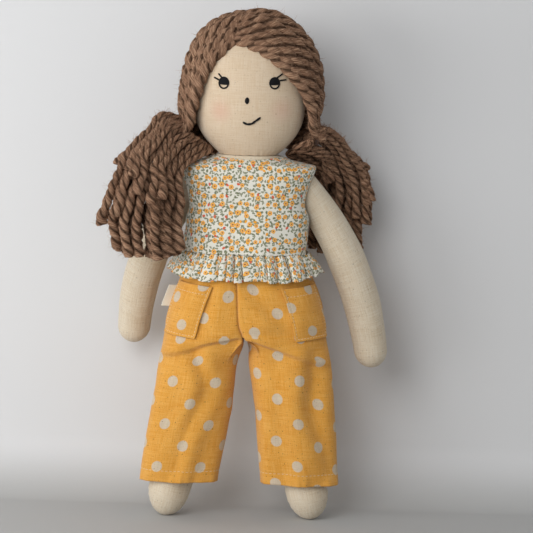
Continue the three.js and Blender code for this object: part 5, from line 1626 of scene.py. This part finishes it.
# Loose fibres: short bent hairs that stand off the strands, three-sided and tapering to a point.
def fuzzPiece(name, paths, scale, count, seed, fromShare=0.0):
    dice = np.random.default_rng(seed)
    pick = dice.integers(0, len(paths), count)
    row = dice.integers(int(fromShare * paths.shape[1]) + 1, paths.shape[1] - 1, count)
    sideways, upward = crossWays(paths)
    forward = unit(np.gradient(paths, axis=1))[pick, row]
    angle = dice.uniform(0, 2 * math.pi, count)[:, None]
    out = np.cos(angle) * sideways[pick, row] + np.sin(angle) * upward[pick, row]
    flank = np.cross(forward, out)
    stand = (strand["radius"] - looseFibres["sunk"]) * scale[pick, row][:, None]
    root = paths[pick, row] + out * stand
    lean = dice.normal(size=(count, 2)) * looseFibres["lean"]
    length = dice.uniform(*looseFibres["length"], count)[:, None]
    way = unit(out * looseFibres["out"] + forward * lean[:, :1] + flank * lean[:, 1:])
    bend = unit(dice.normal(size=(count, 3))) * looseFibres["bend"]
    share = np.linspace(0, 1, 5)[None, :, None]
    fibres = root[:, None] + length[:, None] * (share * way[:, None] + share ** 2 * bend[:, None])
    piece = threadPiece(name, fibres, looseFibres["radius"], 3, dice.uniform(0, 1, count), 0.5)
    return dress(piece, yarnFuzz)


# Directions from the shell's middle become points on it, moved out by a lift.
def onShell(ways, lift):
    size = np.where(ways[..., 2:] > 0, [shell["side"], shell["depth"], shell["up"]],
                    [shell["side"], shell["depth"], shell["down"]])
    spots, away = onForm(ways, size, shell["power"])
    return spots + lift[..., None] * away + shell["centre"]


# The side hair: each strand leaves the parting, follows the shortest way over the shell and ends
# in the tie. The front strand keeps to the hairline, and the pull of the hairline fades towards
# the back.
def hairPaths(word):
    side = sides[word]
    dice = np.random.default_rng(50 + side)
    count, rows = parting["strands"], strand["rows"]
    share = np.linspace(0, 1, count)
    raised = np.radians(parting["front"] + share * (parting["back"] - parting["front"])
                        + dice.uniform(-0.8, 0.8, count))
    turn = parting["turn"]
    start = np.stack([-math.sin(turn) * np.cos(raised), -math.cos(turn) * np.cos(raised), np.sin(raised)], -1)
    across = np.array([math.cos(turn), -math.sin(turn), 0.0]) * side
    lean = 0.07 * np.sin(raised)[:, None] ** 2 * across * side
    start = unit(start + lean - parting["startShift"][word] * across)
    end = unit(np.array([side * 0.88, 0.03, -0.47]))
    place = np.linspace(0, 1, rows)[None, :, None]
    corner = np.arccos(np.clip(start @ end, -1, 1))[:, None, None]
    ways = (np.sin((1 - place) * corner) * start[:, None] + np.sin(place * corner) * end) / np.sin(corner)
    lift = dice.uniform(*parting["lift"], count)[:, None] + 0.9 * waves(ways * 50, 40, 90 + side)
    lift = lift - parting["dip"][word] * np.exp(-place[..., 0] * 4)
    lift = lift - parting["rootDip"] * np.exp(-place[..., 0] * 26)
    paths = onShell(ways, lift)
    guide = np.array(frontGuides[word], float)
    reach = lengthAlong(guide, 0) / lengthAlong(guide, 0)[-1]
    wanted = np.linspace(0, 1, rows)
    seen = smoothly(reach, guide, wanted)
    middleY, middleZ = shell["centre"][1:]
    inside = 1 - (np.abs(seen[:, 0]) / shell["side"]) ** shell["power"]
    high = np.where(seen[:, 1] > middleZ, shell["up"], shell["down"])
    inside = inside - (np.abs(seen[:, 1] - middleZ) / high) ** shell["power"]
    y = middleY - shell["depth"] * np.maximum(inside, 0.004) ** (1 / shell["power"])
    front = np.stack([seen[:, 0], y, seen[:, 1]], -1)
    pull = (1 - share[:, None, None]) ** parting["pull"][word]
    paths = paths + (front - paths[0]) * pull
    angle = np.radians(250 - 320 * share) + dice.uniform(-0.2, 0.2, count)
    ring = dice.uniform(*parting["tieRing"], count)
    into = np.stack([np.full(count, side * parting["tieX"]), ring * np.cos(angle),
                     tie["z"] + ring * np.sin(angle)], -1)
    gather = smoothStep(place, 0.85, 1.0)
    atBack = smoothStep(share, 0.72, 1.0)[:, None]
    paths[..., 2] -= parting["sag"] * atBack * np.sin(math.pi * place[..., 0] ** 2)
    bulge = side * parting["bulge"] * np.sin(math.pi * np.clip((place - 0.7) / 0.3, 0, 1))
    paths = paths * (1 - gather) + into[:, None] * gather + bulge * [1, 0, 0]
    near = np.linalg.norm(paths - [side * tie["x"], 0, tie["z"]], axis=-1)
    thin = parting["tieScale"]
    return paths, thin + (1 - thin) * smoothStep(near, 8, 36), dice


# The strands as one piece of yarn: each has its own start of the twist and its own tone.
def yarnPiece(name, node, paths, scale, dice, pitch):
    phase = dice.uniform(0, 2 * math.pi, len(paths))
    rings, lengths, girths = plyRings(paths, scale, phase, pitch)
    tones = np.tile(dice.uniform(0, 1, len(paths)), 2)
    piece = dress(tubePiece(name, rings, lengths, girths, tones, grooves), yarn)
    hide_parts(node)
    return piece


def makeHair(word):
    paths, scale, dice = hairPaths(word)
    piece = yarnPiece(f"hair_{word}_strands", f"hair_{word}", paths, scale, dice, parting["pitch"])
    fuzz = fuzzPiece(f"hair_{word}_fuzz", paths, scale, looseFibres["onHead"], 60 + sides[word])
    for part in (piece, fuzz):
        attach(part, "torso")


# A pigtail: strands at sunflower places in an oval section that swells from the tie, bows out and
# hangs down. Below the widest part the strands go on hanging, and each ends where it would leave
# the outline, so the outline narrows by strands that end one after another.
def pigtailPaths(word):
    side = sides[word]
    shape = pigtail[word]
    dice = np.random.default_rng(70 + side)
    count, rows = pigtail["strands"], strand["rows"]
    stations = np.array([[*near, *far, half, shape["ahead"] * off]
                         for near, far, half, off in shape["stations"]])
    stops = np.arange(len(stations))
    fine = np.linspace(0, len(stops) - 1, 240)
    table = smoothly(stops, stations, fine)
    kept = table.copy()
    widest = int(np.argmin(np.abs(fine - pigtail["widest"])))
    hang = table[widest:, 1] - table[widest, 1]
    middle = (table[widest, [0, 1]] + table[widest, [2, 3]]) / 2
    goal = (table[-1, [0, 1]] + table[-1, [2, 3]]) / 2
    lean = (goal - middle)[0] / (goal - middle)[1]
    for column in (0, 2):
        pulled = table[widest, column] + hang * lean
        kept[widest:, column] = 0.35 * pulled + 0.65 * table[widest, column]
    kept[widest:, 3] = table[widest, 3] + hang
    kept[widest:, 4] = np.maximum(table[widest:, 4], 0.8 * table[widest, 4])
    index = np.arange(count)
    radius = np.sqrt((index + 0.5) / (count - pigtail["short"]))
    angle = index * 2.39996 + dice.uniform(-0.2, 0.2, count)
    u, v = radius * np.cos(angle), radius * np.sin(angle)
    short = index >= count - pigtail["short"]
    u = np.where(short, dice.uniform(-0.55, 0.85, count), u)
    v = np.where(short, -1.12 * np.sqrt(1 - np.minimum(u ** 2, 0.9)), v)
    near, far = kept[:, [0, 1]], kept[:, [2, 3]]
    half = np.linalg.norm(far - near, axis=-1) / 2
    size = np.clip(np.sqrt(math.pi * half * kept[:, 4] / (count * pigtail["packing"])), 0.5, 1.0)
    edge = strand["radius"] * size
    wide, deep = np.maximum(half - edge, 1.0), np.maximum(kept[:, 4] - edge, 1.0)
    flat = ((near + far) / 2)[None] + (u[:, None] * wide[None])[..., None] * unit(far - near)[None]
    y = kept[None, :, 5] + v[:, None] * deep[None]
    dense = np.stack([side * flat[..., 0], y, flat[..., 1]], -1)
    realCentre = (table[:, [0, 1]] + table[:, [2, 3]]) / 2
    realHalf = np.linalg.norm(table[:, 2:4] - table[:, 0:2], axis=-1) / 2
    outX = (side * dense[..., 0] - realCentre[None, :, 0]) / np.maximum(realHalf - 2.0, 1)[None]
    outY = (dense[..., 1] - table[None, :, 5]) / np.maximum(table[:, 4] - 1.0, 1)[None]
    limit = 1.0 + dice.uniform(-0.06, 0.12, count)[:, None]
    gone = (np.hypot(outX, 0.6 * outY) > limit) & (fine > pigtail["widest"] + 0.1)[None]
    last = np.where(gone.any(1), gone.argmax(1), len(fine) - 1)
    last = np.minimum(last, len(fine) - 1 - dice.integers(0, 14, count))
    early = np.argsort(-u)[:4]
    last[early] = [np.argmin(np.abs(fine - stop)) for stop in (5.35, 3.3, 5.0, 4.3)]
    last[short] = np.argmin(np.abs(fine[None] - dice.uniform(3.2, 5.6, short.sum())[:, None]), axis=1)
    wanted = np.linspace(0, 1, rows)[None] * last[:, None]
    low = np.clip(np.floor(wanted).astype(int), 0, len(fine) - 2)
    part = (wanted - low)[..., None]
    pick = index[:, None]
    paths = dense[pick, low] * (1 - part) + dense[pick, low + 1] * part
    scale = size[low] * (1 - part[..., 0]) + size[low + 1] * part[..., 0]
    share = np.linspace(0, 1, rows)
    wobble = pigtail["wobble"] * smoothStep(share, 0.05, 0.5)
    for axis in range(3):
        paths[..., axis] += waves(paths, pigtail["wobbleLength"], 100 + axis + side) * wobble
    outward = unit(np.stack([side * u, v * 0.7, 0 * u], -1))
    kicked = dice.uniform(0, 2.4, count) + 3.0 * (last < 150)
    kick = smoothStep(share, 0.8, 1.0)[None, :, None] * outward[:, None] * kicked[:, None, None]
    slack = smoothStep(share, 0, 0.08) * (1 - smoothStep(share, 0.1, 0.5))
    loose = np.clip(0.2 - u, 0, 1)[:, None] * slack[None]
    inward = -side * shape["inward"] * loose
    across = np.stack([inward, shape["ahead"] * 3.0 * loose, -3.0 * loose], -1)
    return paths + kick + across, scale, dice


# The strands grow thicker over their last 11 mm, where a cut end opens.
def makePigtail(word):
    paths, scale, dice = pigtailPaths(word)
    toEnd = lengthAlong(paths, 1)
    toEnd = toEnd[:, -1:] - toEnd
    opened = 1 + 0.30 * smoothStep(toEnd, 11, 1) - 0.10 * smoothStep(toEnd, 1.0, 0.0)
    scale = pigtail["thin"] * scale * opened
    piece = yarnPiece(f"pigtail_{word}_strands", f"pigtail_{word}", paths, scale, dice, pigtail["pitch"])
    fuzz = fuzzPiece(f"pigtail_{word}_fuzz", paths, scale, looseFibres["onPigtail"], 64 + sides[word], 0.1)
    for soft in (piece, fuzz):
        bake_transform(soft)


# The elastic round each bunch: a cloth-covered cord in two turns.
def makeTie(word):
    side = sides[word]
    turn = np.linspace(0, 4 * math.pi, 240, endpoint=False)
    lead = 1.1 * np.sin(turn / 2)
    around = tie["ring"] + 0.25 * np.cos(turn * 9)
    path = np.stack([side * tie["ringX"] + lead, around * np.cos(turn), tie["z"] + around * np.sin(turn)], -1)
    path = np.concatenate([path, path[:1] + [0.0, 0.01, 0.0]])[None]
    radius = tie["thick"] / 2 - tie["cover"]
    piece = threadPiece(f"hair_tie_{word}_elastic", path, radius, 12, taper=0.9)
    dress(piece, webbingLook(f"tieElastic_{word}", tie["pale"], tie["dark"], tie["rib"]))
    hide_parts(f"hair_tie_{word}")
    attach(piece, "torso")


tape = {
    "start": 54.0, "end": 175.0, "rows": 90, "half": 1.7, "columns": 7, "size": (46.8, 39.5, 55.3),
    "middleZ": 353.0, "lift": 1.9, "cloth": 0.7, "flatWide": 0.01, "rib": 0.6,
    "stitches": (3.2, 1.2, 0.3, 0.2), "pale": colour(0.55, 0.44, 0.36), "dark": colour(0.45, 0.35, 0.28),
}


# The tape along the parting, with the seam that holds the yarn. It lies on a rounded form a little
# larger than the head and bends down at its edges by the square of the way across.
def makeTape():
    raised = np.radians(np.linspace(tape["start"], tape["end"], tape["rows"]))
    turn = parting["turn"]
    ahead = np.array([-math.sin(turn), -math.cos(turn), 0.0])
    across = np.array([math.cos(turn), -math.sin(turn), 0.0])
    offsets = np.linspace(-tape["half"], tape["half"], tape["columns"])
    ways = np.cos(raised)[:, None] * ahead + np.sin(raised)[:, None] * [0, 0, 1.0]
    spots, away = onForm(ways, np.array(tape["size"]), head["power"])
    middle = spots + [0, 0, tape["middleZ"]]
    grid = (middle + tape["lift"] * away)[:, None] + offsets[None, :, None] * across
    grid = grid - (offsets ** 2 / 60)[None, :, None] * away[:, None]
    piece = gridPiece("parting_tape_strip", grid, clothMapOf(grid, False, 0), middle=(0, 0, 340))
    look = webbingLook("partingTape", tape["pale"], tape["dark"], tape["rib"])
    finishSheet(piece, look, tape["cloth"],
                ["parting_tape"])
    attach(piece, "torso")
    edgeStitches("parting_stitches", [(grid[:, 3], away)], blackFloss, "torso", tape["stitches"])


print("hair")
makeTape()
for word in sides:
    makeHair(word)
    makePigtail(word)
    makeTie(word)


# Floor, light and camera
stage = {"wallY": 88.0, "curve": 50.0, "half": 2600.0, "front": -2600.0, "high": 2600.0, "shade": 0.875}
camera = {"target": (17.8, 0.0, 210.4), "distance": 2000.0, "raise": 6.0, "lens": 163.5, "roll": 1.76}
lights = {
    "world": 0.375,
    "keyLight": {"from": (-440.0, -1300.0, 780.0), "size": 850.0, "power": 8.4},
    "sideLight": {"from": (-950.0, -700.0, 140.0), "size": 950.0, "power": 8.8},
}


# The floor turns up into a wall along a quarter circle.
def makeStage():
    angle = np.linspace(0, math.pi / 2, 24)
    curveY = stage["wallY"] - stage["curve"] + stage["curve"] * np.sin(angle)
    curveZ = stage["curve"] * (1 - np.cos(angle))
    y = np.concatenate([[stage["front"]], curveY, [stage["wallY"]]])
    z = np.concatenate([[0.0], curveZ, [stage["high"]]]) - 0.3
    x = np.linspace(-stage["half"], stage["half"], 9)
    grid = np.stack(np.broadcast_arrays(x[None], y[:, None], z[:, None]), -1)
    piece = gridPiece("paleBackdrop", grid, clothMapOf(grid, False, 0), middle=(0, 3000, -3000))
    piece.data.materials.append(stageLook("backdropPaint", stage["shade"]))


# The turn that lets -Z look from a place to a target.
def aimed(place, target):
    way = mathutils.Vector(tuple(onFrame(target) - onFrame(place)))
    return way.to_track_quat("-Z", "Y").to_matrix().to_4x4()


# A pale even world, and two round lamps aimed at the doll.
def makeLight():
    world = bpy.data.worlds.new("studio")
    world.use_nodes = True
    sky = world.node_tree.nodes["Background"].inputs
    sky["Color"].default_value = (0.98, 0.99, 1.0, 1.0)
    sky["Strength"].default_value = lights["world"]
    bpy.context.scene.world = world
    for name in ("keyLight", "sideLight"):
        settings = lights[name]
        lamp = bpy.data.lights.new(name, "AREA")
        lamp.shape = "DISK"
        lamp.size = settings["size"] / 1000
        lamp.energy = settings["power"]
        holder = bpy.data.objects.new(name, lamp)
        place = mathutils.Matrix.Translation(tuple(onFrame(settings["from"])))
        holder.matrix_world = place @ aimed(settings["from"], camera["target"])
        bpy.context.scene.collection.objects.link(holder)


# The photo's camera: it looks down on the target at the raise angle, and is rolled a little.
def makeCamera():
    above = math.radians(camera["raise"])
    target = np.array(camera["target"])
    place = target + camera["distance"] * np.array([0.0, -math.cos(above), math.sin(above)])
    lens = bpy.data.cameras.new("photoCamera")
    lens.lens = camera["lens"]
    lens.sensor_width = 36.0
    lens.clip_start = 0.01
    holder = bpy.data.objects.new("photoCamera", lens)
    roll = mathutils.Matrix.Rotation(math.radians(camera["roll"]), 4, "Z")
    holder.matrix_world = mathutils.Matrix.Translation(tuple(onFrame(place))) @ aimed(place, target) @ roll
    bpy.context.scene.collection.objects.link(holder)
    bpy.context.scene.camera = holder


print("stage")
makeStage()
makeLight()
makeCamera()
bpy.context.scene.view_settings.view_transform = "Standard"
